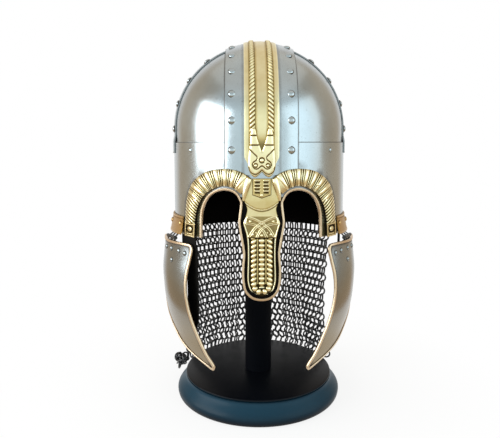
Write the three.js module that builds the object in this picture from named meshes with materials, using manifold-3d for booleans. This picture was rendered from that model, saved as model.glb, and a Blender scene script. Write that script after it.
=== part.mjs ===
// Viking spectacle helmet with hinged cheek pieces and a mail curtain, on its turned stand.
// Millimetres, +Z up, the face looks along -Y, and the origin is the centre of the stand's underside.
import * as THREE from "three";
import { mergeVertices } from "three/addons/utils/BufferGeometryUtils.js";
import Module from "manifold-3d";

const wasm = await Module();
wasm.setup();

// Stand
const baseRadius = 100;
const baseTopRadius = 86.6;
const baseHeight = 30;
const baseFootRadius = 96;
const baseBeadRadius = 1.6;
const socketDepth = 18;
const socketRadius = 10;
const postRadius = 16;
const postSides = 24;
const headRadius = 54;
const headNeckLength = 22;
const headSocketDepth = 16;
const joinGap = 0.3;

// Skull of the helmet
const skullHalfWidth = 95.8;
const skullHalfLength = 110.3;
const skullRise = 94;
const springHeight = 124;
const rimFront = 8.7;
const rimNape = 3;
const rimTurnStart = 97;
const rimTurnEnd = 122;
const skullBack = 8;
const rimHeight = 202;
const noseUpTilt = 6.3;
const plateGauge = 1;
const layerGap = 0.35;
const arcStep = 7.5;

// Steel bands and infill plates
const browSeamDrop = 15.5;
const browBandHeight = springHeight - browSeamDrop;
const browBandLap = 12.5;
const noseBandHalfWidth = 37.5;
const noseBandFront = 76;
const noseBandNape = 30;
const sideBandHalfWidth = 30;
const sideBandLap = 11.5;
const joggleLength = 9;
const sideBandUnderlap = 9;
const infillReach = 68;

// Leather lining
const liningGauge = 2;
const liningGap = 0.9;
const liningLow = 64;
const liningBandTurn = 1.5;
const liningSink = 16;
const liningCrownReach = 82;
const tongueEnd = 56;
const tongueCount = 8;

// Face opening
const eyeInset = 32.8;
const eyeHalfSpan = skullHalfWidth - eyeInset;
const eyeTop = 60.5;
const nasalDrop = 53.5;
const nasalHalfWidth = 23;
const edgeSteps = 60;

// Channel-shaped brass bindings
const bindingWall = 0.8;
const bindingGrip = 2.4;
const bindingCover = 1;
const bindingGap = 0.4;

// Brass castings
const crestHalfWidth = 17.7;
const crestGauge = 1;
const ropeOffset = 9.4;
const ropeHalfWidth = 2.4;
const ropeRise = 1.4;
const crestFront = 90;
const headBottom = 75;
const headTop = 124;
const headHalfWidth = 14;
const headSeat = 7.4;
const headGauge = 3;
const ladderHalfWidth = 9.7;
const ladderBottom = 52.5;
const ladderPoint = 3.4;
const ladderTop = 72.5;
const ladderSlots = 4;
const ladderSlotPitch = 3.5;
const ladderSlotHeight = 1.4;
const ladderSlotFirst = 57.6;
const ladderSlotStart = 1.9;
const ladderSlotEnd = 6.9;
const castingGauge = 1.6;
const nasalPlateTop = 72;
const collarGauge = 1;
const nasalPlateBottom = -48.5;
const nasalPlateHalfWidth = 18;
const beadOffset = 7.8;
const beadHalfWidth = 2.3;
const beadRise = 1.7;
const beadTop = 12;
const beadCount = 13;
const browInset = 19.3;
const browReach = skullHalfWidth - browInset;
const browRise = 72.5;
const browHalfWidth = 9.4;
const browGauge = 4.2;
const browRibRise = 0.9;
const browRibs = 13;

// Brass strip round the rim and the wire that carries the mail
const trimTop = 28.5;
const trimFlare = 3.8;
const trimGauge = 1.6;
const trimSetback = 6.7;
const wireRadius = 1.2;
const wireRise = 4.6;
const wireOut = 4.4;

// Mail curtain
const mailGauge = 2.4;
const mailStart = 117;
const mailHem = 16;
const mailFlare = 6.2;
const mailFold = 1.6;
const mailFoldCount = 7;
const mailColumns = 14;
const mailRows = 8;
const mailBar = 5.2;

// Cheek pieces
const cheekStandOff = 16.2;
const cheekHalfWidth = skullHalfWidth + cheekStandOff;
const cheekTuck = 1.3;
const cheekHalfLength = skullHalfLength - cheekTuck;
const cheekGauge = 1;
const cheekTop = 1.1;
const cheekDrop = 137.4;
const cheekSetback = 30.3;
const cheekFront = skullHalfLength - cheekSetback;
const cheekLength = 94;
const cheekSteps = 38;

// Cheek hinges
const hingeTuck = 2.04;
const hingeRise = 3.1;
const hingeSetback = 44;
const hingeCentre = cheekFront - hingeSetback;
const hingeYaw = 23;
const hingeLength = 26;
const knuckleRadius = 2.2;
const knuckleCount = 5;
const knuckleGap = 0.8;
const pinRadius = 1.1;
const pinHeadRadius = 2;
const pinHeadLength = 1.2;
const pinGap = 0.3;
const leafGauge = 1;
const upperLeafHeight = 12;
const lowerLeafHeight = 13;

// Chin strap
const strapWidth = 14;
const strapGauge = 2.2;
const strapBearing = 48.5;
const strapRise = 42;
const strapDrop = 86;
const strapPoint = 16;
const strapInset = 1.7;
const strapBend = 10;
const tabBearing = 84;
const tabDrop = 14;
const loopWidth = 24;
const loopHeight = 20;
const loopWire = 1.3;
const loopEyeRadius = 3.2;

// Rivets
const rivetRadius = 3.2;
const rivetRise = 1.9;
const rivetSink = 0.5;
const rivetSides = 6;
const bandRivetInset = 7.5;
const bandRivetPitch = 29;
const bandRivetSpaces = 6;
const trimRivetPitch = 34;

// Cutting tools run past what they cut
const overrun = 12;

// Finishes
const steel = new THREE.MeshStandardMaterial({ color: 0x9aa0a8, roughness: 0.3, metalness: 1 });
const brass = new THREE.MeshStandardMaterial({ color: 0xc9a257, roughness: 0.32, metalness: 1 });
const trimBrass = new THREE.MeshStandardMaterial({ color: 0xb98547, roughness: 0.35, metalness: 1 });
const darkIron = new THREE.MeshStandardMaterial({ color: 0x3a3a3d, roughness: 0.45, metalness: 1 });
const blackWood = new THREE.MeshStandardMaterial({ color: 0x0d0e12, roughness: 0.35, metalness: 0 });
const blackLeather = new THREE.MeshStandardMaterial({ color: 0x17140f, roughness: 0.6, metalness: 0 });

const radians = THREE.MathUtils.degToRad;
const up = new THREE.Vector3(0, 0, 1);

// Solids and meshes

// A closed geometry from points and faces, turned so that its faces point outwards.
function closedGeometry(points, faces) {
  const volume = faces.reduce((sum, [a, b, c]) => {
    const normal = new THREE.Vector3().crossVectors(points[b], points[c]);
    return sum + points[a].dot(normal);
  }, 0);
  const turned = volume < 0 ? faces.map(([a, b, c]) => [a, c, b]) : faces;
  const geometry = new THREE.BufferGeometry();
  geometry.setFromPoints(points);
  geometry.setIndex(turned.flat());
  return geometry.toNonIndexed();
}

// A skin between two matching grids of points; cells where present() is false are left open.
function skin(outer, inner, { wraps = false, present = () => true } = {}) {
  const rows = outer.length;
  const columns = outer[0].length;
  const points = [...outer.flat(), ...inner.flat()];
  const faces = [];
  const id = (row, column, side) => side * rows * columns + row * columns + (column % columns);
  const quad = (a, b, c, d) => faces.push([a, b, c], [a, c, d]);
  const cellColumns = wraps ? columns : columns - 1;
  const filled = (row, column) => {
    const at = wraps ? (column + columns) % columns : column;
    return row >= 0 && row < rows - 1 && at >= 0 && at < cellColumns && present(row, at);
  };
  for (let row = 0; row < rows - 1; row++) {
    for (let column = 0; column < cellColumns; column++) {
      if (!filled(row, column)) continue;
      const corners = [[row, column], [row, column + 1], [row + 1, column + 1], [row + 1, column]];
      const [a, b, c, d] = corners.map(([r, k]) => id(r, k, 0));
      const [e, f, g, h] = corners.map(([r, k]) => id(r, k, 1));
      quad(a, b, c, d);
      quad(h, g, f, e);
      if (!filled(row - 1, column)) quad(a, e, f, b);
      if (!filled(row, column + 1)) quad(b, f, g, c);
      if (!filled(row + 1, column)) quad(c, g, h, d);
      if (!filled(row, column - 1)) quad(d, h, e, a);
    }
  }
  return closedGeometry(points, faces);
}

// A solid through a row of matching rings of points, capped by the flat section, or joined end to end.
function loft(rings, section, joined = false) {
  const count = rings[0].length;
  const points = rings.flat();
  const faces = [];
  const spans = joined ? rings.length : rings.length - 1;
  for (let ring = 0; ring < spans; ring++) {
    const next = (ring + 1) % rings.length;
    for (let k = 0; k < count; k++) {
      const after = (k + 1) % count;
      const [a, b] = [ring * count + k, ring * count + after];
      const [c, d] = [next * count + after, next * count + k];
      faces.push([a, b, c], [a, c, d]);
    }
  }
  if (!joined) {
    const cap = THREE.ShapeUtils.triangulateShape(section, []);
    const clockwise = THREE.ShapeUtils.isClockWise(section);
    const last = (rings.length - 1) * count;
    for (const [a, b, c] of cap) {
      const front = clockwise ? [a, b, c] : [a, c, b];
      faces.push(front, [front[0] + last, front[2] + last, front[1] + last]);
    }
  }
  return closedGeometry(points, faces);
}

function solidOf(geometry) {
  const bare = geometry.index ? geometry.toNonIndexed() : geometry.clone();
  const points = new THREE.BufferGeometry().setAttribute("position", bare.getAttribute("position"));
  const merged = mergeVertices(points, 1e-4);
  const vertProperties = merged.attributes.position.array;
  const triVerts = new Uint32Array(merged.index.array);
  return new wasm.Manifold(new wasm.Mesh({ numProp: 3, vertProperties, triVerts }));
}

function geometryOf(solid) {
  const { vertProperties, triVerts } = solid.getMesh();
  const geometry = new THREE.BufferGeometry();
  geometry.setAttribute("position", new THREE.BufferAttribute(vertProperties, 3));
  geometry.setIndex(new THREE.BufferAttribute(triVerts, 1));
  return geometry.toNonIndexed();
}

function joined(first, ...others) {
  return geometryOf(others.reduce((whole, other) => whole.add(solidOf(other)), solidOf(first)));
}

function cut(body, ...tools) {
  return geometryOf(tools.reduce((whole, tool) => whole.subtract(solidOf(tool)), solidOf(body)));
}

function mesh(name, geometry, material) {
  geometry.computeVertexNormals();
  const made = new THREE.Mesh(geometry, material);
  made.name = name;
  return made;
}

function steps(count) {
  return Array.from({ length: count + 1 }, (_, index) => index / count);
}

// The smooth curve through a table of shares, scaled by two sizes.
function shareCurve(shares, width, height) {
  const points = shares.map(([across, along]) => new THREE.Vector3(across * width, along * height, 0));
  return new THREE.CatmullRomCurve3(points, false, "centripetal");
}

// The smooth value at a share of the way along evenly spaced shares.
function blend(shares, at) {
  const curve = new THREE.SplineCurve(shares.map((share, index) => new THREE.Vector2(index, share)));
  return curve.getPoint(THREE.MathUtils.clamp(at, 0, 1)).y;
}

// The skull's surface

// A point at a bearing from the front (degrees, + towards +X) and a height, pushed out by a rise.
function skullPoint(bearing, height, out) {
  const rise = Math.max(0, height - springHeight) / (skullRise + out);
  const shrink = Math.sqrt(Math.max(0, 1 - rise * rise));
  const across = (skullHalfWidth + out) * shrink * Math.sin(radians(bearing));
  const along = (skullHalfLength + out) * shrink * Math.cos(radians(bearing));
  return new THREE.Vector3(across, -along, height);
}

// A point on the front of the skull at a place across and a height.
function facePoint(across, height, out) {
  const rise = Math.max(0, height - springHeight) / (skullRise + out);
  const shrink = Math.sqrt(Math.max(0, 1 - rise * rise));
  const share = across / ((skullHalfWidth + out) * shrink);
  const along = (skullHalfLength + out) * shrink * Math.sqrt(Math.max(0, 1 - share * share));
  return new THREE.Vector3(across, -along, height);
}

// The way out of the wall at a place across the front.
function faceNormal(across) {
  const share = across / skullHalfWidth;
  const slope = Math.sqrt(Math.max(0, 1 - share * share)) / skullHalfLength;
  return new THREE.Vector3(share / skullHalfWidth, -slope, 0).normalize();
}

// Stations over the dome: a turn from one side (0) to the other (180 degrees), and a drop down the wall.
function domeStations(firstDrop, lastTurn, lastDrop) {
  const count = Math.round(lastTurn / arcStep);
  const arc = steps(count).map((share) => ({ turn: share * lastTurn, drop: 0 }));
  const first = firstDrop > 0 ? [{ turn: 0, drop: firstDrop }] : [];
  const last = lastDrop > 0 ? [{ turn: lastTurn, drop: lastDrop }] : [];
  return [...first, ...arc, ...last];
}

// A point of a band that runs from the front over the crown to the nape.
function foreAftPoint(across, { turn, drop }, out) {
  const share = across / (skullHalfWidth + out);
  const reach = Math.sqrt(1 - share * share);
  const along = -(skullHalfLength + out) * reach * Math.cos(radians(turn));
  const height = springHeight + (skullRise + out) * reach * Math.sin(radians(turn)) - drop;
  return new THREE.Vector3(across, along, height);
}

// A point of a band that runs up one side (side is -1 or 1) towards the crown.
function sidewaysPoint(along, { turn, drop }, out, side) {
  const share = along / (skullHalfLength + out);
  const reach = Math.sqrt(1 - share * share);
  const across = side * (skullHalfWidth + out) * reach * Math.cos(radians(turn));
  const height = springHeight + (skullRise + out) * reach * Math.sin(radians(turn)) - drop;
  return new THREE.Vector3(across, along, height);
}

const browOut = plateGauge + layerGap;
const bandOut = browOut + plateGauge + layerGap;
const crestOut = bandOut + plateGauge + layerGap;

// A domed rivet head that stands on a point and faces along a normal.
function rivet(point, normal) {
  const profile = [
    new THREE.Vector2(0, -rivetSink),
    new THREE.Vector2(rivetRadius, -rivetSink),
    new THREE.Vector2(rivetRadius * rivetCrownShare, rivetRise),
    new THREE.Vector2(0, rivetRise),
  ];
  const head = new THREE.LatheGeometry(profile, rivetSides);
  head.applyQuaternion(new THREE.Quaternion().setFromUnitVectors(new THREE.Vector3(0, 1, 0), normal));
  return head.translate(point.x, point.y, point.z);
}

const rivetCrownShare = 0.6;

// The outward direction of a surface given by a function of its push-out.
function outward(pointAt) {
  return pointAt(1).sub(pointAt(0)).normalize();
}

function rivetsOn(places) {
  return places.map((pointAt) => rivet(pointAt(0), outward(pointAt)));
}

// Stand

function ogeeBase() {
  const low = baseHeight * baseFootShare;
  const profile = new THREE.Path();
  profile.moveTo(0, 0);
  profile.lineTo(baseFootRadius, 0);
  profile.quadraticCurveTo(baseRadius, low * baseRollShare, baseRadius, low);
  profile.bezierCurveTo(
    baseRadius, baseHeight * baseBendShare,
    baseTopRadius + baseBeadRadius * 2, baseHeight * baseRiseShare,
    baseTopRadius + baseBeadRadius, baseHeight - baseBeadRadius * 2,
  );
  profile.lineTo(baseTopRadius + baseBeadRadius, baseHeight - baseBeadRadius);
  profile.lineTo(baseTopRadius, baseHeight);
  profile.lineTo(socketRadius + joinGap, baseHeight);
  profile.lineTo(socketRadius + joinGap, baseHeight - socketDepth);
  profile.lineTo(0, baseHeight - socketDepth);
  return new THREE.LatheGeometry(profile.getPoints(3), postSides * 2).rotateX(Math.PI / 2);
}

const baseFootShare = 0.24;
const baseRollShare = 0.3;
const baseBendShare = 0.66;
const baseRiseShare = 0.62;

// The rounded block under the lining's crown: a hemisphere on a flared neck, with the post's socket.
function headBlock(crownHeight) {
  const centre = crownHeight - headRadius;
  const bottom = centre - headNeckLength;
  const profile = new THREE.Path();
  profile.moveTo(0, bottom + headSocketDepth);
  profile.lineTo(socketRadius + joinGap, bottom + headSocketDepth);
  profile.lineTo(socketRadius + joinGap, bottom);
  profile.lineTo(postRadius, bottom);
  profile.quadraticCurveTo(headRadius, bottom + headNeckLength * headFlareShare, headRadius, centre);
  profile.absarc(0, centre, headRadius, 0, Math.PI / 2, false);
  return new THREE.LatheGeometry(profile.getPoints(3), postSides).rotateX(Math.PI / 2);
}

const headFlareShare = 0.35;

// The post stands in the base's socket and its upper end in the head block's socket.
function post(bottomOfHead) {
  const foot = baseHeight - socketDepth + joinGap;
  const tip = bottomOfHead + headSocketDepth - joinGap;
  const profile = [
    new THREE.Vector2(0, foot),
    new THREE.Vector2(socketRadius, foot),
    new THREE.Vector2(socketRadius, baseHeight + joinGap),
    new THREE.Vector2(postRadius, baseHeight + joinGap),
    new THREE.Vector2(postRadius, bottomOfHead - joinGap),
    new THREE.Vector2(socketRadius, bottomOfHead - joinGap),
    new THREE.Vector2(socketRadius, tip),
    new THREE.Vector2(0, tip),
  ];
  return new THREE.LatheGeometry(profile, postSides).rotateX(Math.PI / 2);
}

// The height above the floor at which the lining's crown rests on the head block.
function seatHeight() {
  const tilt = radians(noseUpTilt);
  const rise = skullRise - liningSink - liningGap - liningGauge;
  const reach = skullHalfLength - liningGap - liningGauge;
  const crown = Math.hypot(rise * Math.cos(tilt), reach * Math.sin(tilt));
  return rimHeight + springHeight * Math.cos(tilt) + crown - layerGap * 2;
}

function stand() {
  const group = new THREE.Group();
  const crown = seatHeight();
  group.add(mesh("stand_base", ogeeBase(), blackWood));
  group.add(mesh("stand_post", post(crown - headRadius - headNeckLength), blackWood));
  group.add(mesh("stand_head", headBlock(crown), blackWood));
  return group;
}

// Steel skull

// One quarter of the dome, tucked under the brow band and the two crossing bands.
function infillPlate(side, end) {
  const inside = noseBandHalfWidth - sideBandUnderlap;
  const behind = sideBandHalfWidth - sideBandUnderlap;
  const wall = [browBandHeight - browBandLap, springHeight];
  const count = Math.round(infillReach / arcStep);
  const dome = steps(count).slice(1).map((share) => (
    springHeight + skullRise * Math.sin(radians(share * infillReach))
  ));
  const grid = (out) => [...wall, ...dome].map((height) => {
    const rise = Math.max(0, height - springHeight) / skullRise;
    const shrink = Math.sqrt(1 - rise * rise);
    const low = Math.asin(inside / (skullHalfWidth * shrink));
    const high = Math.acos(behind / (skullHalfLength * shrink));
    const lift = out * rise;
    return steps(7).map((share) => {
      const bearing = THREE.MathUtils.lerp(low, high, share);
      const across = (skullHalfWidth + out) * shrink * Math.sin(bearing);
      const along = (skullHalfLength + out) * shrink * Math.cos(bearing);
      return new THREE.Vector3(side * across, end * along, height + lift);
    });
  });
  return skin(grid(plateGauge), grid(0));
}

// The cutter that opens the eyes and trims everything under the rim but the nasal.
function faceCutter() {
  const low = -nasalDrop - overrun;
  const wide = skullHalfWidth + overrun;
  const points = faceEdge().map((point) => new THREE.Vector2(point.x, point.y));
  const shape = new THREE.Shape([
    new THREE.Vector2(-wide, rimFront),
    ...points,
    new THREE.Vector2(wide, rimFront),
    new THREE.Vector2(wide, low),
    new THREE.Vector2(-wide, low),
  ]);
  const depth = skullHalfLength + overrun;
  const cutter = new THREE.ExtrudeGeometry(shape, { depth, bevelEnabled: false, steps: 1 });
  return cutter.rotateX(Math.PI / 2);
}

// The plate's edge from the left of the face, over the eye, round the nasal and over the other eye.
const eyeEdgeShares = [
  [1, 0], [0.995, 0.3], [0.975, 0.55], [0.905, 0.77], [0.79, 0.92], [0.64, 0.995],
  [0.5, 0.985], [0.405, 0.915], [0.35, 0.8], [0.335, 0.72],
];
const nasalEdgeShares = [
  [0.98, 0.62], [1, 0.5], [0.93, 0.28], [0.83, 0.02], [0.8, -0.12], [0.845, -0.42],
  [0.82, -0.66], [0.71, -0.84], [0.4, -0.965], [0, -1],
];

function faceEdge() {
  const eye = eyeEdgeShares.map(([across, high]) => (
    new THREE.Vector2(-across * eyeHalfSpan, THREE.MathUtils.lerp(rimFront, eyeTop, high))
  ));
  const nasal = nasalEdgeShares.map(([across, high]) => (
    new THREE.Vector2(-across * nasalHalfWidth, high * nasalDrop)
  ));
  const half = [...eye, ...nasal];
  const mirrored = half.slice(0, -1).reverse().map((point) => new THREE.Vector2(-point.x, point.y));
  const curve = new THREE.SplineCurve([...half, ...mirrored]);
  return curve.getSpacedPoints(edgeSteps);
}

// The rim's height at a bearing: level past the ears, then a dip to the nape.
function rimAt(bearing) {
  const turn = Math.min(bearing, 360 - bearing);
  return THREE.MathUtils.lerp(rimFront, rimNape, THREE.MathUtils.smoothstep(turn, rimTurnStart, rimTurnEnd));
}

// The band round the brow, with the eye openings and the nasal in one plate.
function browBand() {
  const columns = Math.round(360 / arcStep);
  const frontReach = radians(eyeHalfSpan);
  const bearings = Array.from({ length: columns }, (_, index) => index * arcStep);
  const isFront = (bearing) => Math.cos(radians(bearing)) > Math.cos(frontReach);
  const low = (bearing) => (isFront(bearing) ? -nasalDrop - overrun / 2 : rimAt(bearing));
  const grid = (out) => [
    bearings.map((bearing) => skullPoint(bearing, low(bearing), out)),
    bearings.map((bearing) => skullPoint(bearing, browBandHeight, out)),
  ];
  const ring = skin(grid(browOut + plateGauge), grid(browOut), { wraps: true });
  return cut(ring, faceCutter());
}

// Rivet places along both edges of a band, at a pitch, between two lengths from its middle.
function pitchTurns(radius, reach) {
  const turn = THREE.MathUtils.radToDeg(bandRivetPitch / radius);
  const count = Math.floor(reach / turn);
  return Array.from({ length: count * 2 + 1 }, (_, index) => (index - count) * turn);
}

function noseToNapeBand() {
  const stations = domeStations(springHeight - noseBandFront, 180, springHeight - noseBandNape);
  const across = steps(6).map((share) => (share * 2 - 1) * noseBandHalfWidth);
  const grid = (out) => stations.map((station) => across.map((place) => foreAftPoint(place, station, out)));
  const band = skin(grid(bandOut + plateGauge), grid(bandOut));
  const place = noseBandHalfWidth - bandRivetInset;
  const foot = springHeight - browBandHeight + bandRivetInset;
  const quarter = Math.PI / 4 * (skullHalfLength + skullRise);
  const drops = steps(bandRivetSpaces).map((share) => share * (quarter + foot) - foot);
  const spotAt = (side, along, isRear) => (out) => {
    const turn = Math.max(0, along) / quarter * 90;
    const drop = Math.max(0, -along);
    return foreAftPoint(side, { turn: isRear ? 180 - turn : turn, drop }, bandOut + plateGauge + out);
  };
  const places = [-place, place].flatMap((side) => [
    ...drops.map((along) => spotAt(side, along, false)),
    ...drops.slice(0, -1).map((along) => spotAt(side, along, true)),
  ]);
  return joined(band, ...rivetsOn(places));
}

// A side band: it lies on the infill plates, steps out over the brow band and ends in a rounded foot.
function sideBand(side) {
  const foot = springHeight - browBandHeight + sideBandLap;
  const step = springHeight - browBandHeight - layerGap * 2;
  const reach = sideBandHalfWidth;
  const underlap = noseBandHalfWidth - sideBandUnderlap;
  const topTurn = THREE.MathUtils.radToDeg(Math.acos(underlap / skullHalfWidth));
  const arc = domeStations(0, topTurn, 0);
  const wall = [
    { turn: 0, drop: foot, joggle: bandOut - browOut },
    { turn: 0, drop: step, joggle: bandOut - browOut },
    { turn: 0, drop: Math.max(0, step - joggleLength), joggle: 0 },
  ];
  const stations = [...wall, ...arc];
  const along = steps(6).map((share) => (share * 2 - 1) * reach);
  const grid = (out) => stations.map((station) => along.map((place) => (
    sidewaysPoint(place, station, browOut + out + (station.joggle ?? 0), side)
  )));
  const band = skin(grid(plateGauge), grid(0));
  const place = sideBandHalfWidth - bandRivetInset;
  const turns = pitchTurns((skullHalfWidth + skullRise) / 2, 60).filter((turn) => turn >= 0);
  const places = [-place, place].flatMap((edge) => turns.map((turn) => (out) => (
    sidewaysPoint(edge, { turn, drop: 0 }, browOut + plateGauge + out, side)
  )));
  return joined(band, ...rivetsOn(places));
}

// Leather lining

// A point of the lining: the wall stands to the spring line, and the crown turns in over it.
function liningPoint(bearing, { turn, height }, out) {
  const level = Math.cos(radians(turn));
  const across = (skullHalfWidth + out) * level * Math.sin(bearing);
  const along = (skullHalfLength + out) * level * Math.cos(bearing);
  const rise = (skullRise - liningSink + out) * Math.sin(radians(turn));
  return new THREE.Vector3(across, -along, height + rise);
}

// A ring of leather through the given rows, with the columns turned so that a tongue faces front.
function liningSkin(rows, present) {
  const columns = tongueCount * 3;
  const grid = (out) => rows.map((row) => Array.from({ length: columns }, (_, index) => (
    liningPoint(radians((index - 1) * 360 / columns), row, out)
  )));
  return skin(grid(-liningGap), grid(-liningGap - liningGauge), { wraps: true, present });
}

// The tall band that lies on the skull's wall.
function liningBand() {
  const wall = [liningLow, springHeight].map((height) => ({ turn: 0, height }));
  return liningSkin([...wall, { turn: liningBandTurn, height: springHeight }], () => true);
}

// The crown: tongues that rise from the band's seam to a ring over the head block.
function liningCrown() {
  const seam = THREE.MathUtils.radToDeg(joinGap / (skullRise - liningSink));
  const rows = steps(6).map((share) => ({
    turn: THREE.MathUtils.lerp(liningBandTurn + seam, liningCrownReach, share),
    height: springHeight,
  }));
  const slit = (row, column) => column % 3 === 2 && row >= 1 && rows[row + 1].turn <= tongueEnd;
  return liningSkin(rows, (row, column) => !slit(row, column));
}

// Bindings

// The section of a channel that grips an edge: first number runs out past the edge, second is the push-out.
function channelSection() {
  const slot = plateGauge / 2 + bindingGap;
  const high = slot + bindingWall;
  const slotEnd = bindingCover - bindingWall + layerGap;
  return [
    new THREE.Vector2(-bindingGrip, -high),
    new THREE.Vector2(bindingCover, -high),
    new THREE.Vector2(bindingCover, high),
    new THREE.Vector2(-bindingGrip, high),
    new THREE.Vector2(-bindingGrip, slot),
    new THREE.Vector2(slotEnd, slot),
    new THREE.Vector2(slotEnd, -slot),
    new THREE.Vector2(-bindingGrip, -slot),
  ];
}

// A channel along an edge given by points, the way out past the edge, and the surface's normals.
function channel(frames, section, isJoined) {
  const rings = frames.map(({ origin, side, normal }) => section.map((point) => (
    origin.clone().addScaledVector(side, point.x).addScaledVector(normal, point.y)
  )));
  return loft(rings, section, isJoined);
}

// Frames along an edge: the tangent crossed with the normal points away from the plate.
function edgeFrames(points, normals, isClosed, turn) {
  const count = points.length;
  return points.map((origin, index) => {
    const before = isClosed ? points[(index + count - 1) % count] : points[Math.max(0, index - 1)];
    const after = isClosed ? points[(index + 1) % count] : points[Math.min(count - 1, index + 1)];
    const tangent = after.clone().sub(before).normalize();
    const normal = normals[index];
    const side = tangent.clone().cross(normal).multiplyScalar(turn).normalize();
    return { origin, side, normal };
  });
}

function faceBinding() {
  const edge = faceEdge();
  const points = edge.map((point) => facePoint(point.x, point.y, browOut + plateGauge / 2));
  const normals = edge.map((point) => faceNormal(point.x));
  return channel(edgeFrames(points, normals, false, 1), channelSection(), false);
}

// Brass castings

function crestBand() {
  const stations = domeStations(springHeight - crestFront, 180, springHeight - noseBandNape);
  const ridge = ropeHalfWidth;
  const half = [crestHalfWidth, ropeOffset + ridge, ropeOffset, ropeOffset - ridge];
  const heights = [0, 0, ropeRise, 0];
  const outer = [
    ...half.map((place, index) => [-place, heights[index]]),
    [0, 0],
    ...half.map((place, index) => [place, heights[index]]).reverse(),
  ];
  const pitch = noseBandHalfWidth / 3;
  const inner = [crestHalfWidth, pitch, 0, -pitch, -crestHalfWidth].map((place) => [place, -crestGauge]);
  const section = [...outer, ...inner].map(([place, rise]) => new THREE.Vector2(place, rise + crestGauge));
  const rings = stations.map((station) => section.map((point) => (
    foreAftPoint(point.x, station, crestOut + point.y)
  )));
  return loft(rings, section);
}

// Half of the beast head's outline from its forked chin to the tip of an ear.
const beastHalfShares = [
  [0, 0.09], [0.25, 0.02], [0.52, -0.02], [0.8, 0.05], [0.97, 0.16], [1, 0.3], [0.93, 0.48],
  [0.78, 0.66], [0.74, 0.84], [0.58, 0.97], [0.4, 0.98], [0.2, 0.76], [0, 0.5],
];

function beastHead() {
  const tall = headTop - headBottom;
  const right = beastHalfShares.map(([across, high]) => (
    new THREE.Vector2(across * headHalfWidth, headBottom + high * tall)
  ));
  const left = right.slice(1, -1).reverse().map((point) => new THREE.Vector2(-point.x, point.y));
  const shape = new THREE.Shape([...right, ...left]);
  const flat = new THREE.ExtrudeGeometry(shape, { depth: headGauge, bevelEnabled: false, steps: 1 });
  const places = flat.getAttribute("position");
  for (let index = 0; index < places.count; index++) {
    const point = facePoint(places.getX(index), places.getY(index), headSeat + places.getZ(index));
    places.setXYZ(index, point.x, point.y, point.z);
  }
  return flat;
}

// The small plate between the brows: its foot is a blunt point, and slots run down both halves.
function ladderPlate() {
  const half = [ladderSlotStart, ladderSlotEnd, ladderHalfWidth];
  const across = [...half.map((place) => -place).reverse(), 0, ...half];
  const slots = steps(ladderSlots - 1).map((_, index) => ladderSlotFirst + index * ladderSlotPitch);
  const levels = [ladderBottom, ...slots.flatMap((low) => [low, low + ladderSlotHeight]), ladderTop];
  const foot = (place) => ladderPoint * Math.abs(place) / ladderHalfWidth;
  const seat = bandOut + layerGap * 2 + collarGauge;
  const grid = (out) => levels.map((height, row) => across.map((place) => (
    facePoint(place, height + (row ? 0 : foot(place)), seat + out)
  )));
  const slot = (row, column) => row % 2 === 1 && (column === 1 || column === across.length - 3);
  return skin(grid(castingGauge), grid(0), { present: (row, column) => !slot(row, column) });
}

// Half-widths of the nasal plate from its collar down to its rounded foot.
const nasalWidthShares = [
  0.56, 0.62, 0.7, 0.82, 0.945, 0.88, 0.785, 0.82, 0.915, 1.01, 0.94, 0.86, 0.805, 0.78, 0.765,
  0.76, 0.76, 0.765, 0.775, 0.785, 0.79, 0.78, 0.72, 0.59, 0.31,
];

// The nasal's casting: a collar, a panel with a raised border, and three rows of beads.
function nasalPlate() {
  const tall = nasalPlateTop - nasalPlateBottom;
  const pitch = (beadTop - nasalPlateBottom) / (beadCount + 1);
  const beadRows = Array.from({ length: beadCount * 2 + 1 }, (_, index) => ({
    height: beadTop - index * pitch / 2,
    rise: index % 2 === 1 ? beadRise : beadRise * beadValleyShare,
  }));
  const panelRows = nasalPanelShares.map(([down, rise]) => ({
    height: THREE.MathUtils.lerp(nasalPlateTop, beadTop, down),
    rise: rise * beadRise,
    isPanel: true,
  }));
  const foot = { height: nasalPlateBottom, rise: 0 };
  const rows = [...panelRows, ...beadRows, foot];
  const ridge = beadHalfWidth;
  const half = [beadOffset, ridge];
  const rings = rows.map(({ height, rise, isPanel }) => {
    const wide = nasalPlateHalfWidth * blend(nasalWidthShares, (nasalPlateTop - height) / tall);
    const squeeze = Math.min(1, wide / (beadOffset + ridge * 2));
    const places = [wide, ...half.map((place) => place * squeeze)];
    const rises = isPanel ? [rise, rise, rise] : [0, rise, 0];
    const outer = [
      ...places.map((place, index) => [-place, rises[index]]),
      [0, rise],
      ...places.map((place, index) => [place, rises[index]]).reverse(),
    ];
    const inner = [[wide, -collarGauge], [0, -collarGauge], [-wide, -collarGauge]];
    return { height, ring: [...outer, ...inner] };
  });
  const base = bandOut + layerGap + collarGauge;
  const points = rings.map(({ height, ring }) => ring.map(([place, rise]) => (
    facePoint(place, height, base + rise)
  )));
  const section = rings[0].ring.map(([place, rise]) => new THREE.Vector2(place, rise));
  return loft(points, section);
}

const beadValleyShare = 0.25;
const nasalPanelShares = [
  [0, 0], [0.17, 0], [0.335, 0], [0.37, 1.2], [0.493, 1.2], [0.518, 0.6], [0.607, 0.6], [0.633, 1.1],
  [0.722, 1.1], [0.747, 0.6], [0.912, 0.6], [0.95, 0.95],
];

// The brow casting's centre line, from its root beside the nose to its foot at the rim.
const browPathShares = [
  [0.21, 0.89], [0.33, 0.975], [0.5, 1.01], [0.69, 0.97], [0.85, 0.845], [0.945, 0.64],
  [0.985, 0.4], [1, 0.12],
];
const browWidthShares = [1, 0.97, 0.94, 1, 0.96, 0.8, 0.66, 0.6, 0.58];

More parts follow.
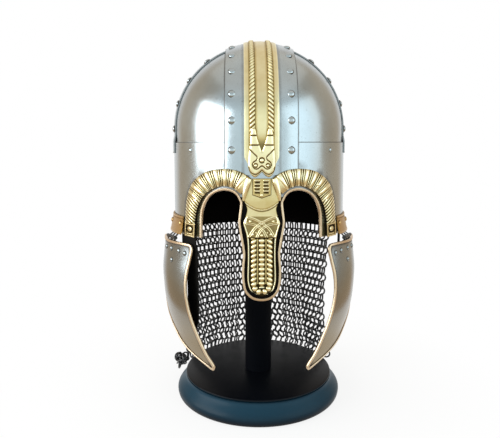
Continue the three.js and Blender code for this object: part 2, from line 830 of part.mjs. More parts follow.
// A ribbed brow casting that thins to a square block at the rim.
function browCasting(side) {
  const count = browRibs * 2;
  const curve = shareCurve(browPathShares, browReach, browRise);
  const spots = curve.getSpacedPoints(count);
  const section = [
    [-1, 0, 0], [-1, 1, 0.35], [-0.55, 1, 0.85], [0, 1, 1], [0.55, 1, 0.85], [1, 1, 0.35], [1, 0, 0],
    [0, 0, 0],
  ];
  const flat = section.map(([place, , rise]) => new THREE.Vector2(place, rise));
  const rings = spots.map((spot, index) => {
    const share = index / count;
    const before = spots[Math.max(0, index - 1)];
    const after = spots[Math.min(count, index + 1)];
    const tangent = after.clone().sub(before).normalize();
    const wide = browHalfWidth * blend(browWidthShares, share);
    const isRoot = share < browRootShare;
    const isFoot = share > browFootShare;
    const rib = isRoot || isFoot || index % 2 === 1 ? browRibRise : 0;
    return section.map(([place, isTop, rise]) => {
      const across = spot.x - tangent.y * wide * place;
      const height = spot.y + tangent.x * wide * place;
      const isOverBand = across < noseBandHalfWidth + browHalfWidth && height > noseBandFront - browHalfWidth;
      const seat = isOverBand ? crestOut : bandOut;
      const crown = crestOut + (browGauge + rib) * rise;
      return facePoint(side * across, height, isTop ? crown : seat);
    });
  });
  return loft(rings, flat);
}

const browRootShare = 0.12;
const browFootShare = 0.9;

// Brass strip round the rim, flared at its foot; both ends stop beside the brow castings' feet.
function rimTrim() {
  const end = (browReach + trimSetback) / (skullHalfWidth + bandOut);
  const start = THREE.MathUtils.radToDeg(Math.asin(end));
  const count = Math.round((360 - start * 2) / arcStep);
  const bearings = steps(count).map((share) => start + share * (360 - start * 2));
  const levels = steps(2).map((share) => ({
    share,
    flare: trimFlare * (1 - share),
  }));
  const heightAt = (bearing, share) => THREE.MathUtils.lerp(rimAt(bearing), trimTop, share);
  const grid = (out) => levels.map(({ share, flare }) => bearings.map((bearing) => (
    skullPoint(bearing, heightAt(bearing, share), bandOut + flare + out)
  )));
  const strip = skin(grid(trimGauge), grid(0));
  const pitch = THREE.MathUtils.radToDeg(trimRivetPitch / skullHalfWidth);
  const rivets = Math.floor((360 - start * 2) / pitch);
  const seat = bandOut + trimFlare * (1 - trimRivetShare) + trimGauge;
  const places = steps(rivets).map((share) => {
    const bearing = start + pitch * trimEndShare + share * (360 - start * 2 - pitch * trimEndShare * 2);
    return (out) => skullPoint(bearing, heightAt(bearing, trimRivetShare), seat + out);
  });
  return joined(strip, ...rivetsOn(places));
}

const trimRivetShare = 0.6;
const trimEndShare = 0.13;

// The wire behind the strip's foot, which the mail's top rings hang on.
function mailWire() {
  const section = Array.from({ length: rivetSides }, (_, index) => {
    const turn = index / rivetSides * Math.PI * 2;
    return new THREE.Vector2(Math.cos(turn) * wireRadius, Math.sin(turn) * wireRadius);
  });
  const span = 360 - mailStart * 2;
  const count = Math.round(span / arcStep);
  const rings = steps(count).map((share) => section.map((point) => (
    skullPoint(mailStart + share * span, wireRise + point.y, wireOut + point.x)
  )));
  return loft(rings, section);
}

// Mail curtain

// How far the curtain spreads from its wire down to its hem, which passes outside the base.
const mailSpreadShares = [0, -0.25, -0.6, -0.9, -0.85, 0.1, 1];

// The curtain hangs plumb from the tilted rim, draws in a little, spreads at its hem and has shallow folds.
function mailPoint(share, down, out) {
  const bearing = radians(THREE.MathUtils.lerp(mailStart, 360 - mailStart, share));
  const fold = mailFold * down * Math.sin(share * mailFoldCount * Math.PI * 2);
  const reach = wireOut + mailFlare * blend(mailSpreadShares, down) + fold + out;
  const across = (skullHalfWidth + reach) * Math.sin(bearing);
  const along = (skullHalfLength + reach) * Math.cos(bearing);
  const tilt = radians(noseUpTilt);
  const hang = wireRise - wireRadius - layerGap;
  const top = rimHeight + along * Math.sin(tilt) + hang;
  return new THREE.Vector3(across, -along - skullBack, THREE.MathUtils.lerp(top, mailHem, down));
}

// Staggered openings between bars: each cell is a six-cornered frame round a four-cornered gap.
function mailCurtain() {
  const pitch = 1 / mailColumns;
  const length = Math.PI * (skullHalfWidth + skullHalfLength) / 2 * (360 - mailStart * 2) / 180;
  const tall = rimHeight - mailHem;
  const barAcross = mailBar / length / 2;
  const barDown = mailBar / tall / 2;
  const points = [];
  const faces = [];
  const seen = new Map();
  const corner = (across, down) => {
    const key = `${Math.round(across * 1e6)},${Math.round(down * 1e6)}`;
    if (!seen.has(key)) {
      seen.set(key, points.length);
      points.push(mailPoint(across, down, mailGauge / 2), mailPoint(across, down, -mailGauge / 2));
    }
    return seen.get(key);
  };
  const outerFace = (a, b, c) => faces.push([a, b, c], [a + 1, c + 1, b + 1]);
  const wall = (a, b) => faces.push([b, a, a + 1], [b, a + 1, b + 1]);
  const edges = new Map();
  const face = (a, b, c) => {
    outerFace(a, b, c);
    for (const [from, to] of [[a, b], [b, c], [c, a]]) {
      const back = `${to},${from}`;
      if (edges.has(back)) edges.delete(back);
      else edges.set(`${from},${to}`, [from, to]);
    }
  };
  for (let row = 0; row < mailRows; row++) {
    const [top, bottom] = [row / mailRows, (row + 1) / mailRows];
    const shift = row % 2 === 1 ? 0.5 : 0;
    const cells = mailColumns - (row % 2);
    if (shift > 0) {
      for (const [edge, inside] of [[0, pitch / 2], [1, 1 - pitch / 2]]) {
        const [a, b] = [corner(edge, top), corner(inside, top)];
        const [c, d] = [corner(inside, bottom), corner(edge, bottom)];
        if (edge === 0) {
          face(a, b, c);
          face(a, c, d);
        } else {
          face(b, a, d);
          face(b, d, c);
        }
      }
    }
    for (let cell = 0; cell < cells; cell++) {
      const left = (cell + shift) * pitch;
      const [middle, right] = [left + pitch / 2, left + pitch];
      const half = (top + bottom) / 2;
      const needsTop = row > 0;
      const needsBottom = row < mailRows - 1;
      const ring = [corner(left, top)];
      if (needsTop) ring.push(corner(middle, top));
      ring.push(corner(right, top), corner(right, bottom));
      if (needsBottom) ring.push(corner(middle, bottom));
      ring.push(corner(left, bottom));
      const gap = [
        corner(middle, top + barDown),
        corner(right - barAcross, half),
        corner(middle, bottom - barDown),
        corner(left + barAcross, half),
      ];
      const at = (index) => ring[index % ring.length];
      const topMiddle = needsTop ? 1 : -1;
      let index = 0;
      if (topMiddle === 1) {
        face(at(0), at(1), gap[0]);
        face(at(1), at(2), gap[0]);
        index = 2;
      } else {
        face(at(0), at(1), gap[0]);
        index = 1;
      }
      face(at(index), gap[1], gap[0]);
      face(at(index), at(index + 1), gap[1]);
      index += 1;
      face(at(index), gap[2], gap[1]);
      if (needsBottom) {
        face(at(index), at(index + 1), gap[2]);
        index += 1;
      }
      face(at(index), at(index + 1), gap[2]);
      index += 1;
      face(at(index), gap[3], gap[2]);
      face(at(index), at(0), gap[3]);
      face(at(0), gap[0], gap[3]);
    }
  }
  for (const [from, to] of edges.values()) wall(from, to);
  return closedGeometry(points, faces);
}

// Cheek pieces

const cheekWidthShares = [0.972, 0.987, 1, 0.993, 0.978, 0.946, 0.902, 0.866, 0.786];
const cheekLengthShares = [0.903, 0.926, 0.965, 0.998, 0.998, 0.982, 0.955, 0.913, 0.892];
const cheekOutlineShares = [
  [0.13, 0], [0.5, 0], [0.95, 0], [1, 0.05], [1, 0.252], [0.94, 0.415], [0.84, 0.54],
  [0.62, 0.684], [0.39, 0.808], [0.18, 0.909], [0.07, 0.971], [0.01, 1], [-0.005, 0.976],
  [0.008, 0.866], [0.022, 0.712], [0.045, 0.482], [0.066, 0.252], [0.07, 0.13], [0.072, 0.04],
  [0.09, 0.006],
];

// A point of the cheek's outer surface from its place along (y) and its height.
function cheekSurface(along, height) {
  const down = -height / (cheekDrop + cheekTop);
  const wide = cheekHalfWidth * blend(cheekWidthShares, down);
  const share = along / (cheekHalfLength * blend(cheekLengthShares, down));
  return new THREE.Vector3(-wide * Math.sqrt(Math.max(0, 1 - share * share)), along, height);
}

// The way out of the cheek's surface.
function cheekNormal(along, height) {
  const ahead = cheekSurface(along + cheekGauge, height).sub(cheekSurface(along - cheekGauge, height));
  const above = cheekSurface(along, height + cheekGauge).sub(cheekSurface(along, height - cheekGauge));
  return ahead.cross(above).normalize();
}

function cheekPoint(along, height, out) {
  return cheekSurface(along, height).addScaledVector(cheekNormal(along, height), out);
}

function cheekOutline() {
  const points = cheekOutlineShares.map(([across, down]) => new THREE.Vector3(
    across * cheekLength - cheekFront,
    -cheekTop - down * cheekDrop,
    0,
  ));
  const curve = new THREE.CatmullRomCurve3(points, true, "centripetal");
  return curve.getSpacedPoints(cheekSteps).slice(0, -1);
}

function cheekPlate(side) {
  const outline = cheekOutline();
  const centre = new THREE.Vector3(
    cheekCentreShares[0] * cheekLength - cheekFront,
    -cheekTop - cheekCentreShares[1] * cheekDrop,
    0,
  );
  const rings = cheekRingShares.map((share) => outline.map((point) => centre.clone().lerp(point, share)));
  const spots = [centre, ...rings.flat()];
  const count = outline.length;
  const faces = [];
  const point = (spot, out) => cheekPoint(spot.x, spot.y, out);
  const points = [...spots.map((spot) => point(spot, 0)), ...spots.map((spot) => point(spot, -cheekGauge))];
  const under = spots.length;
  const both = (a, b, c) => faces.push([a, b, c], [a + under, c + under, b + under]);
  for (let k = 0; k < count; k++) {
    const next = (k + 1) % count;
    both(0, 1 + k, 1 + next);
    for (let ring = 0; ring < rings.length - 1; ring++) {
      const [low, high] = [1 + ring * count, 1 + (ring + 1) * count];
      both(low + k, high + k, high + next);
      both(low + k, high + next, low + next);
    }
    const edge = 1 + (rings.length - 1) * count;
    const [a, b] = [edge + k, edge + next];
    faces.push([b, a, a + under], [b, a + under, b + under]);
  }
  const plate = closedGeometry(points, faces);
  const rivets = [-1, 1].map((place) => {
    const along = -hingeCentre + place * hingeLength * leafRivetShare;
    const height = -cheekTop - lowerLeafHeight * leafRivetDropShare;
    const pointAt = (out) => cheekPoint(along, height, out);
    return rivet(pointAt(0), cheekNormal(along, height));
  });
  return mirrored(joined(plate, ...rivets), side);
}

const cheekCentreShares = [0.45, 0.4];
const cheekRingShares = [0.5, 0.93, 1];
const leafRivetShare = 0.3;
const leafRivetDropShare = 0.62;

// The same geometry for the left (side -1), or its mirror image for the right.
function mirrored(geometry, side) {
  if (side < 0) return geometry;
  const places = geometry.getAttribute("position");
  const points = Array.from({ length: places.count }, (_, index) => (
    new THREE.Vector3(-places.getX(index), places.getY(index), places.getZ(index))
  ));
  const faces = Array.from({ length: places.count / 3 }, (_, index) => (
    [index * 3, index * 3 + 1, index * 3 + 2]
  ));
  return closedGeometry(points, faces);
}

function cheekBinding(side) {
  const outline = cheekOutline();
  const points = outline.map((point) => cheekPoint(point.x, point.y, -cheekGauge / 2));
  const normals = outline.map((point) => cheekNormal(point.x, point.y));
  return mirrored(channel(edgeFrames(points, normals, true, -1), channelSection(), true), side);
}

// Cheek hinges

const hingeSpot = cheekSurface(-hingeCentre, -cheekTop).setZ(hingeRise);
hingeSpot.x += hingeTuck;
const hingeAim = new THREE.Vector3(-Math.sin(radians(hingeYaw)), Math.cos(radians(hingeYaw)), 0);
const hingeOutboard = new THREE.Vector3(-Math.cos(radians(hingeYaw)), -Math.sin(radians(hingeYaw)), 0);

// A cylinder on the hinge's axis between two lengths from its middle.
function onHinge(radius, from, to, sides) {
  const rod = new THREE.CylinderGeometry(radius, radius, to - from, sides);
  rod.applyQuaternion(new THREE.Quaternion().setFromUnitVectors(new THREE.Vector3(0, 1, 0), hingeAim));
  const middle = hingeSpot.clone().addScaledVector(hingeAim, (from + to) / 2);
  return rod.translate(middle.x, middle.y, middle.z);
}

// The knuckles with an even or odd place along the hinge, each bored for the pin.
function knuckles(isEven) {
  const pitch = hingeLength / knuckleCount;
  const places = Array.from({ length: knuckleCount }, (_, index) => index)
    .filter((index) => (index % 2 === 0) === isEven);
  return places.map((index) => {
    const from = -hingeLength / 2 + index * pitch + knuckleGap / 2;
    return onHinge(knuckleRadius, from, from + pitch - knuckleGap, knuckleSides);
  });
}

const knuckleSides = 8;

function hingeBore() {
  return onHinge(pinRadius + pinGap, -hingeLength, hingeLength, knuckleSides);
}

// A flat leaf tangent to the knuckles on their inboard side, between two heights from the axis.
function leafPiece(index, low, high) {
  const pitch = hingeLength / knuckleCount;
  const from = -hingeLength / 2 + index * pitch + knuckleGap / 2;
  return leafBox(from, from + pitch - knuckleGap, low, high);
}

function leafBox(from, to, low, high) {
  const box = new THREE.BoxGeometry(leafGauge, to - from, high - low);
  box.rotateZ(radians(hingeYaw));
  const offset = leafGauge / 2 - knuckleRadius;
  const spot = hingeSpot.clone()
    .addScaledVector(hingeAim, (from + to) / 2)
    .addScaledVector(hingeOutboard, offset);
  return box.translate(spot.x, spot.y, spot.z + (low + high) / 2);
}

// The lower leaf hangs inside the cheek piece; the upper leaf stands between brow band and strip.
function hingeLowerLeaf(side) {
  const tabs = [1, 3].map((index) => leafPiece(index, -knuckleRadius * 2, 0));
  const low = -lowerLeafHeight;
  const plate = leafBox(-hingeLength / 2, hingeLength / 2, low, -knuckleRadius - knuckleGap * 2);
  return mirrored(cut(joined(plate, ...tabs, ...knuckles(false)), hingeBore()), side);
}

// A point of the wall abreast of a place along the hinge.
function wallAbreast(place, height, out) {
  const along = hingeSpot.y + hingeAim.y * place;
  const share = along / (skullHalfLength + out);
  return new THREE.Vector3(-(skullHalfWidth + out) * Math.sqrt(1 - share * share), along, height);
}

function hingeUpperLeaf(side) {
  const low = rimFront - leafGauge;
  const places = steps(4).map((share) => (share - 0.5) * hingeLength);
  const levels = [low, low + upperLeafHeight];
  const grid = (out) => levels.map((height) => places.map((place) => (
    wallAbreast(place, height, bandOut + out)
  )));
  const plate = skin(grid(leafGauge), grid(0));
  const tabs = [0, 2, 4].map((index) => upperTab(index, low + leafGauge));
  return mirrored(cut(joined(plate, ...tabs, ...knuckles(true)), hingeBore()), side);
}

// A short web from a knuckle's axis up to the curved upper leaf.
function upperTab(index, high) {
  const pitch = hingeLength / knuckleCount;
  const from = -hingeLength / 2 + index * pitch + knuckleGap / 2;
  const places = [from, from + pitch - knuckleGap];
  const axisPoint = (place, out) => hingeSpot.clone()
    .addScaledVector(hingeAim, place)
    .addScaledVector(hingeOutboard, out - leafGauge / 2);
  const grid = (out) => [
    places.map((place) => axisPoint(place, out)),
    places.map((place) => wallAbreast(place, high, bandOut + out)),
  ];
  return skin(grid(leafGauge), grid(0));
}

function hingePin(side) {
  const reach = hingeLength / 2;
  const rod = onHinge(pinRadius, -reach - pinGap, reach + pinGap, rivetSides * 2);
  const heads = [-1, 1].map((end) => {
    const near = reach + pinGap;
    const far = near + pinHeadLength;
    const [from, to] = end < 0 ? [-far, -near] : [near, far];
    return onHinge(pinHeadRadius, from, to, rivetSides * 2);
  });
  return mirrored(joined(rod, ...heads), side);
}

// Chin strap

const strapSection = [[-1, -1], [1, -1], [1, 1], [-1, 1]].map(([across, through]) => (
  new THREE.Vector2(across, through)
));

// A strap section at a spot, with its width along the wall.
function strapRing(spot, wide, thick, aim, normal) {
  return strapSection.map((corner) => (
    spot.clone().addScaledVector(aim, corner.x * wide / 2).addScaledVector(normal, corner.y * thick / 2)
  ));
}

// A strap riveted inside the rim that hangs plumb below it; points are in the helmet's own frame.
function hangingStrap(bearing, rise, drop) {
  const middle = browOut - strapInset - strapGauge / 2;
  const spotAt = (height, nearer = 0) => skullPoint(bearing, height, middle + nearer);
  const aim = skullPoint(bearing + 1, 0, middle).sub(skullPoint(bearing - 1, 0, middle)).normalize();
  const normal = aim.clone().cross(up);
  const plumb = new THREE.Vector3(0, Math.sin(radians(noseUpTilt)), -Math.cos(radians(noseUpTilt)));
  const rim = spotAt(0);
  const nearer = strapInset - layerGap * 2;
  const lap = [spotAt(rise, nearer), spotAt(rise - strapBend, nearer), spotAt(rise - strapBend * 2)];
  const hanging = steps(4).slice(1).map((share) => rim.clone().addScaledVector(plumb, share * drop));
  const spots = [...lap, rim, ...hanging];
  const rings = spots.map((spot) => strapRing(spot, strapWidth, strapGauge, aim, normal));
  return { geometry: loft(rings, strapSection), end: spots[spots.length - 1], aim, normal, plumb };
}

const strapPointShare = 0.3;

// The hanging strap ends in a blunt point.
function chinStrap() {
  const strap = hangingStrap(-strapBearing, strapRise, strapDrop);
  const point = strap.end.clone().addScaledVector(strap.plumb, strapPoint);
  const rings = [[strap.end, strapWidth], [point, strapWidth * strapPointShare]].map(([spot, wide]) => (
    strapRing(spot, wide, strapGauge, strap.aim, strap.normal)
  ));
  const whole = joined(strap.geometry, loft(rings, strapSection));
  return mesh("chin_strap_left", whole, blackLeather);
}

// The other side's tab is short, and an iron loop hangs in the eye at its end.
function loopTab() {
  const tab = hangingStrap(tabBearing, strapRise, tabDrop);
  const group = new THREE.Group();
  const eyeRod = (radius, length) => {
    const rod = new THREE.CylinderGeometry(radius, radius, length, rivetSides * 2);
    rod.applyQuaternion(new THREE.Quaternion().setFromUnitVectors(new THREE.Vector3(0, 1, 0), tab.aim));
    return rod.translate(tab.end.x, tab.end.y, tab.end.z);
  };
  const eye = joined(tab.geometry, eyeRod(loopEyeRadius, strapWidth));
  const strap = cut(eye, eyeRod(loopWire + pinGap, strapWidth * 2));
  group.add(mesh("chin_strap_right", strap, blackLeather));
  group.add(mesh("chin_loop", wireLoop(tab), darkIron));
  return group;
}

const loopCornerShare = 0.25;

// A loop of round wire whose upper side lies in the eye.
function wireLoop({ aim, normal, plumb, end }) {
  const round = loopHeight * loopCornerShare;
  const [x, y] = [loopWidth / 2, loopHeight];
  const path = new THREE.Path();
  path.moveTo(-x + round, 0);
  path.lineTo(x - round, 0);
  path.quadraticCurveTo(x, 0, x, round);
  path.lineTo(x, y - round);
  path.quadraticCurveTo(x, y, x - round, y);
  path.lineTo(-x + round, y);
  path.quadraticCurveTo(-x, y, -x, y - round);
  path.lineTo(-x, round);
  path.quadraticCurveTo(-x, 0, -x + round, 0);
  const flat = path.getPoints(3).slice(0, -1);
  const hang = plumb.clone().addScaledVector(aim, -plumb.dot(aim)).normalize();
  const points = flat.map((point) => (
    end.clone().addScaledVector(aim, point.x).addScaledVector(hang, point.y)
  ));
  const face = aim.clone().cross(hang).normalize();
  const section = Array.from({ length: rivetSides }, (_, index) => {
    const turn = index / rivetSides * Math.PI * 2;
    return new THREE.Vector2(Math.cos(turn) * loopWire, Math.sin(turn) * loopWire);
  });
  const frames = edgeFrames(points, points.map(() => face), true, normal.dot(face) < 0 ? 1 : -1);
  return channel(frames, section, true);
}

// The helmet in its own frame: the rim lies in the plane of its origin.
function helmet() {
  const group = new THREE.Group();
  group.position.set(0, -skullBack, rimHeight);
  group.rotation.x = -radians(noseUpTilt);
  group.add(mesh("brow_band", browBand(), steel));
  group.add(mesh("nose_to_nape_band", noseToNapeBand(), steel));
  for (const [side, name] of [[-1, "left"], [1, "right"]]) {
    group.add(mesh(`side_band_${name}`, sideBand(side), steel));
    group.add(mesh(`infill_front_${name}`, infillPlate(side, -1), steel));
    group.add(mesh(`infill_rear_${name}`, infillPlate(side, 1), steel));
    group.add(mesh(`brow_casting_${name}`, browCasting(side), brass));
    group.add(mesh(`cheek_plate_${name}`, cheekPlate(side), steel));
    group.add(mesh(`cheek_binding_${name}`, cheekBinding(side), brass));
    group.add(mesh(`hinge_upper_leaf_${name}`, hingeUpperLeaf(side), brass));
    group.add(mesh(`hinge_lower_leaf_${name}`, hingeLowerLeaf(side), brass));
    group.add(mesh(`hinge_pin_${name}`, hingePin(side), darkIron));
  }
  group.add(mesh("crest_band", crestBand(), brass));
  group.add(mesh("crest_head", beastHead(), brass));
  group.add(mesh("nose_ladder_plate", ladderPlate(), brass));
  group.add(mesh("nasal_plate", nasalPlate(), brass));
  group.add(mesh("face_binding", faceBinding(), brass));
  group.add(mesh("rim_trim", rimTrim(), trimBrass));
  group.add(mesh("mail_wire", mailWire(), darkIron));
  group.add(mesh("lining_band", liningBand(), blackLeather));
  group.add(mesh("lining_crown", liningCrown(), blackLeather));
  group.add(chinStrap());
  group.add(loopTab());
  return group;
}

const vikingHelmet = new THREE.Group();
vikingHelmet.add(stand());
vikingHelmet.add(helmet());
vikingHelmet.add(mesh("mail_curtain", mailCurtain(), darkIron));

export default vikingHelmet;
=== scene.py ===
"""Viking spectacle helmet with hinged cheek pieces and a mail curtain, on its turned stand.

Lengths in the classes are millimetres in the helmet's own frame: the rim lies in its XY plane, the
face looks along -Y, and the whole helmet is tipped nose up on the stand. Meshes are in metres.
"""

import logging
import math
from dataclasses import dataclass, field
from enum import Enum
from typing import Callable, Iterable, Sequence

import bpy
import numpy as np
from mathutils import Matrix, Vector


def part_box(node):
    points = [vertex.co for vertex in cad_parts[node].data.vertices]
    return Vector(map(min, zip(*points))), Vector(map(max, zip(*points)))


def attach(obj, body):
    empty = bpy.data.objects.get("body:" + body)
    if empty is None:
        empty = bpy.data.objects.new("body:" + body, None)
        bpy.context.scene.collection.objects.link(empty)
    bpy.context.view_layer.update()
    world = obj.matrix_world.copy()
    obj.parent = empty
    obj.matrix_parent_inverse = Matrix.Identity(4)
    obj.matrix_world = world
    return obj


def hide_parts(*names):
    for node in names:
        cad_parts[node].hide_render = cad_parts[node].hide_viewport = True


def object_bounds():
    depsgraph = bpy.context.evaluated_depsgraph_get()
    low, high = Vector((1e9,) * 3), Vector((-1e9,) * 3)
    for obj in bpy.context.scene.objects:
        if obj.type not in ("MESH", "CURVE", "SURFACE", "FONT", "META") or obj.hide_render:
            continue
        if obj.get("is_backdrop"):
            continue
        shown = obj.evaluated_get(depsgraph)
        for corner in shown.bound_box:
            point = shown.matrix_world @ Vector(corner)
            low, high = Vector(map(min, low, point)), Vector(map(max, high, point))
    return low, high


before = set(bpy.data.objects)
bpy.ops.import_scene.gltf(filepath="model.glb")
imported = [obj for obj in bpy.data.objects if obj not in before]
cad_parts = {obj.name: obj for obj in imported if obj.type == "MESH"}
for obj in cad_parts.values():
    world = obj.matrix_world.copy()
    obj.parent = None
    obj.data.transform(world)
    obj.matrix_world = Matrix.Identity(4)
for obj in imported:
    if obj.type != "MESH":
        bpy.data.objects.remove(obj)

Array = np.ndarray
Triple = tuple[float, float, float]
Colour = Triple
Pairs = tuple[tuple[float, float], ...]
Place = Callable[[Array], Array]
log = logging.getLogger("helmet")

MM = 0.001

# How the helmet sits on its stand: its tilt, how far its centre is behind the stand's, and its rim's height
TILT = math.radians(6.3)
SKULL_BACK = 8.0
RIM_HEIGHT = 202.0

# The rim's own rise in front and at the nape
RIM_FRONT = 8.7
RIM_NAPE = 3.0

# The sheet's thickness, and how far each layer stands off the skull's form
GAUGE = 1.0
BROW_OUT = 1.35
BAND_OUT = 2.7
CREST_OUT = 4.05

# The relief value of plain metal: 0 is painted black shade on steel and tarnish on brass, low values also paint shade
# in seams and recesses, and 1 is a rubbed crest
CLEAN = 0.75


class Body(Enum):
    """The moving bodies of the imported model."""

    STAND = "stand"
    HELMET = "helmet"
    CHEEK_LEFT = "cheek_left"
    CHEEK_RIGHT = "cheek_right"
    LOOP = "strap_loop"


class Side(Enum):
    """The left (-X) or right (+X) half of the helmet."""

    LEFT = -1
    RIGHT = 1

    @property
    def word(self) -> str:
        """The side's name as the nodes spell it."""
        return self.name.lower()


# Curves


def centripetal(points: Array, closed: bool, density: int = 24) -> Array:
    """A dense smooth curve through points.

    Each span is a cubic whose end slopes weigh the neighbouring chords by the square root of their
    lengths, so that the curve makes no loops between uneven points.

    Args:
        points: The points passed through, one row each.
        closed: Whether the last point runs on to the first.
        density: Samples in each span.

    Returns:
        The samples, one row each.
    """
    if closed:
        before, start = np.roll(points, 1, 0), points
        end, after = np.roll(points, -1, 0), np.roll(points, -2, 0)
    else:
        padded = np.vstack([2 * points[0] - points[1], points, 2 * points[-1] - points[-2]])
        before, start, end, after = padded[:-3], padded[1:-2], padded[2:-1], padded[3:]
    chords = (start - before, end - start, after - end)
    gap = [np.sqrt(np.linalg.norm(chord, axis=1))[:, None] for chord in chords]
    first = chords[0] / gap[0] - (end - before) / (gap[0] + gap[1]) + chords[1] / gap[1]
    last = chords[1] / gap[1] - (after - start) / (gap[1] + gap[2]) + chords[2] / gap[2]
    return hermite(start, end, first * gap[1], last * gap[1], closed, density)


def even_spline(points: Array, density: int = 24) -> Array:
    """A dense open curve whose slope at each point is half the step between the point's neighbours."""
    slope = (np.vstack([points[1:], points[-1:]]) - np.vstack([points[:1], points[:-1]])) / 2
    return hermite(points[:-1], points[1:], slope[:-1], slope[1:], False, density)


def hermite(start: Array, end: Array, first: Array, last: Array, closed: bool, density: int) -> Array:
    """Cubic spans from their ends and end slopes: (2t3-3t2+1)a + (t3-2t2+t)m + (3t2-2t3)b + (t3-t2)n.

    Args:
        start: The spans' first points, a in the formula.
        end: Their last points, b.
        first: The slopes at the first points, m.
        last: The slopes at the last points, n.
        closed: Whether the last span ends where the first begins.
        density: Samples in each span.

    Returns:
        The samples, one row each.
    """
    t = np.linspace(0, 1, density, endpoint=False)[None, :, None]
    a, b, m, n = (v[:, None, :] for v in (start, end, first, last))
    spans = (2 * t**3 - 3 * t**2 + 1) * a + (t**3 - 2 * t**2 + t) * m + (3 * t**2 - 2 * t**3) * b + (t**3 - t**2) * n
    samples = spans.reshape(-1, start.shape[1])
    return samples if closed else np.vstack([samples, end[-1]])


def run_length(line: Array) -> Array:
    """The length of a line up to each of its points."""
    return np.concatenate([[0], np.cumsum(np.linalg.norm(np.diff(line, axis=0), axis=1))])


def evenly(curve: Array, count: int, closed: bool = False) -> Array:
    """Points at even lengths along a dense curve.

    Args:
        curve: The dense curve.
        count: How many points come back.
        closed: Whether the curve closes; the last point then isn't repeated.

    Returns:
        The points, one row each.
    """
    line = np.vstack([curve, curve[:1]]) if closed else curve
    length = run_length(line)
    wanted = np.linspace(0, length[-1], count, endpoint=not closed)
    return np.stack([np.interp(wanted, length, axis) for axis in line.T], axis=1)


def mirrored(half: Array) -> Array:
    """A line that ends on the middle, run on through its mirror image."""
    return np.vstack([half, half[:-1][::-1] * [-1, 1]])


def circle(count: int) -> Array:
    """Even turns round a circle, in radians."""
    return np.linspace(0, 2 * math.pi, count, endpoint=False)


def share_at(shares: Sequence[float], at: Array) -> Array:
    """The values of a table of even shares, read as a smooth curve at places from 0 to 1."""
    dense = even_spline(np.asarray(shares, float)[:, None], 32)[:, 0]
    return np.interp(np.clip(at, 0, 1), np.linspace(0, 1, len(dense)), dense)


def smoothstep(value: Array, low: float, high: float) -> Array:
    """0 below low, 1 above high, and 3t2-2t3 between them."""
    t = np.clip((value - low) / (high - low), 0, 1)
    return t * t * (3 - 2 * t)


def bump(distance: Array, half_width: float) -> Array:
    """A rounded ridge: the square root of 1 - (distance / half width) squared, and 0 outside it."""
    return np.sqrt(np.clip(1 - (distance / half_width) ** 2, 0, 1))


def distance_to(line: Array, across: Array, high: Array) -> Array:
    """The distance in a plane from points to a line: the least of their distances from its straight pieces.

    Args:
        line: The line's points, one row each.
        across: The points' first coordinates, of any shape.
        high: Their second coordinates.

    Returns:
        The distances, in the same shape.
    """
    p = np.stack([across.ravel(), high.ravel()], axis=1)
    run = np.diff(line, axis=0)
    size = np.maximum((run**2).sum(1), 1e-9)
    offset = p[:, None, :] - line[None, :-1]
    t = np.clip((offset * run[None]).sum(2) / size[None], 0, 1)
    gap = offset - t[..., None] * run[None]
    return np.sqrt((gap**2).sum(2).min(1)).reshape(across.shape)


def inside(outline: Array, across: Array, high: Array) -> Array:
    """Whether points lie inside a closed outline: where an odd number of its sides pass above them.

    Args:
        outline: The outline's points, one row each.
        across: The points' first coordinates, of any shape.
        high: Their second coordinates.

    Returns:
        True or False for each point.
    """
    x, y = across.ravel()[:, None], high.ravel()[:, None]
    a, b = outline, np.roll(outline, -1, 0)
    spans = (a[None, :, 0] > x) != (b[None, :, 0] > x)
    run = np.where(np.abs(b[:, 0] - a[:, 0]) < 1e-12, 1e-12, b[:, 0] - a[:, 0])
    level = a[None, :, 1] + (x - a[None, :, 0]) * ((b[:, 1] - a[:, 1]) / run)[None]
    return ((spans & (y < level)).sum(1) % 2 == 1).reshape(across.shape)


def stack(*parts: Array) -> Array:
    """Arrays of one shape as the last axis of one array."""
    return np.stack(np.broadcast_arrays(*parts), axis=-1).astype(float)


def unit(vectors: Array) -> Array:
    """Vectors at length 1."""
    return vectors / np.maximum(np.linalg.norm(vectors, axis=-1, keepdims=True), 1e-12)


# The skull's surface


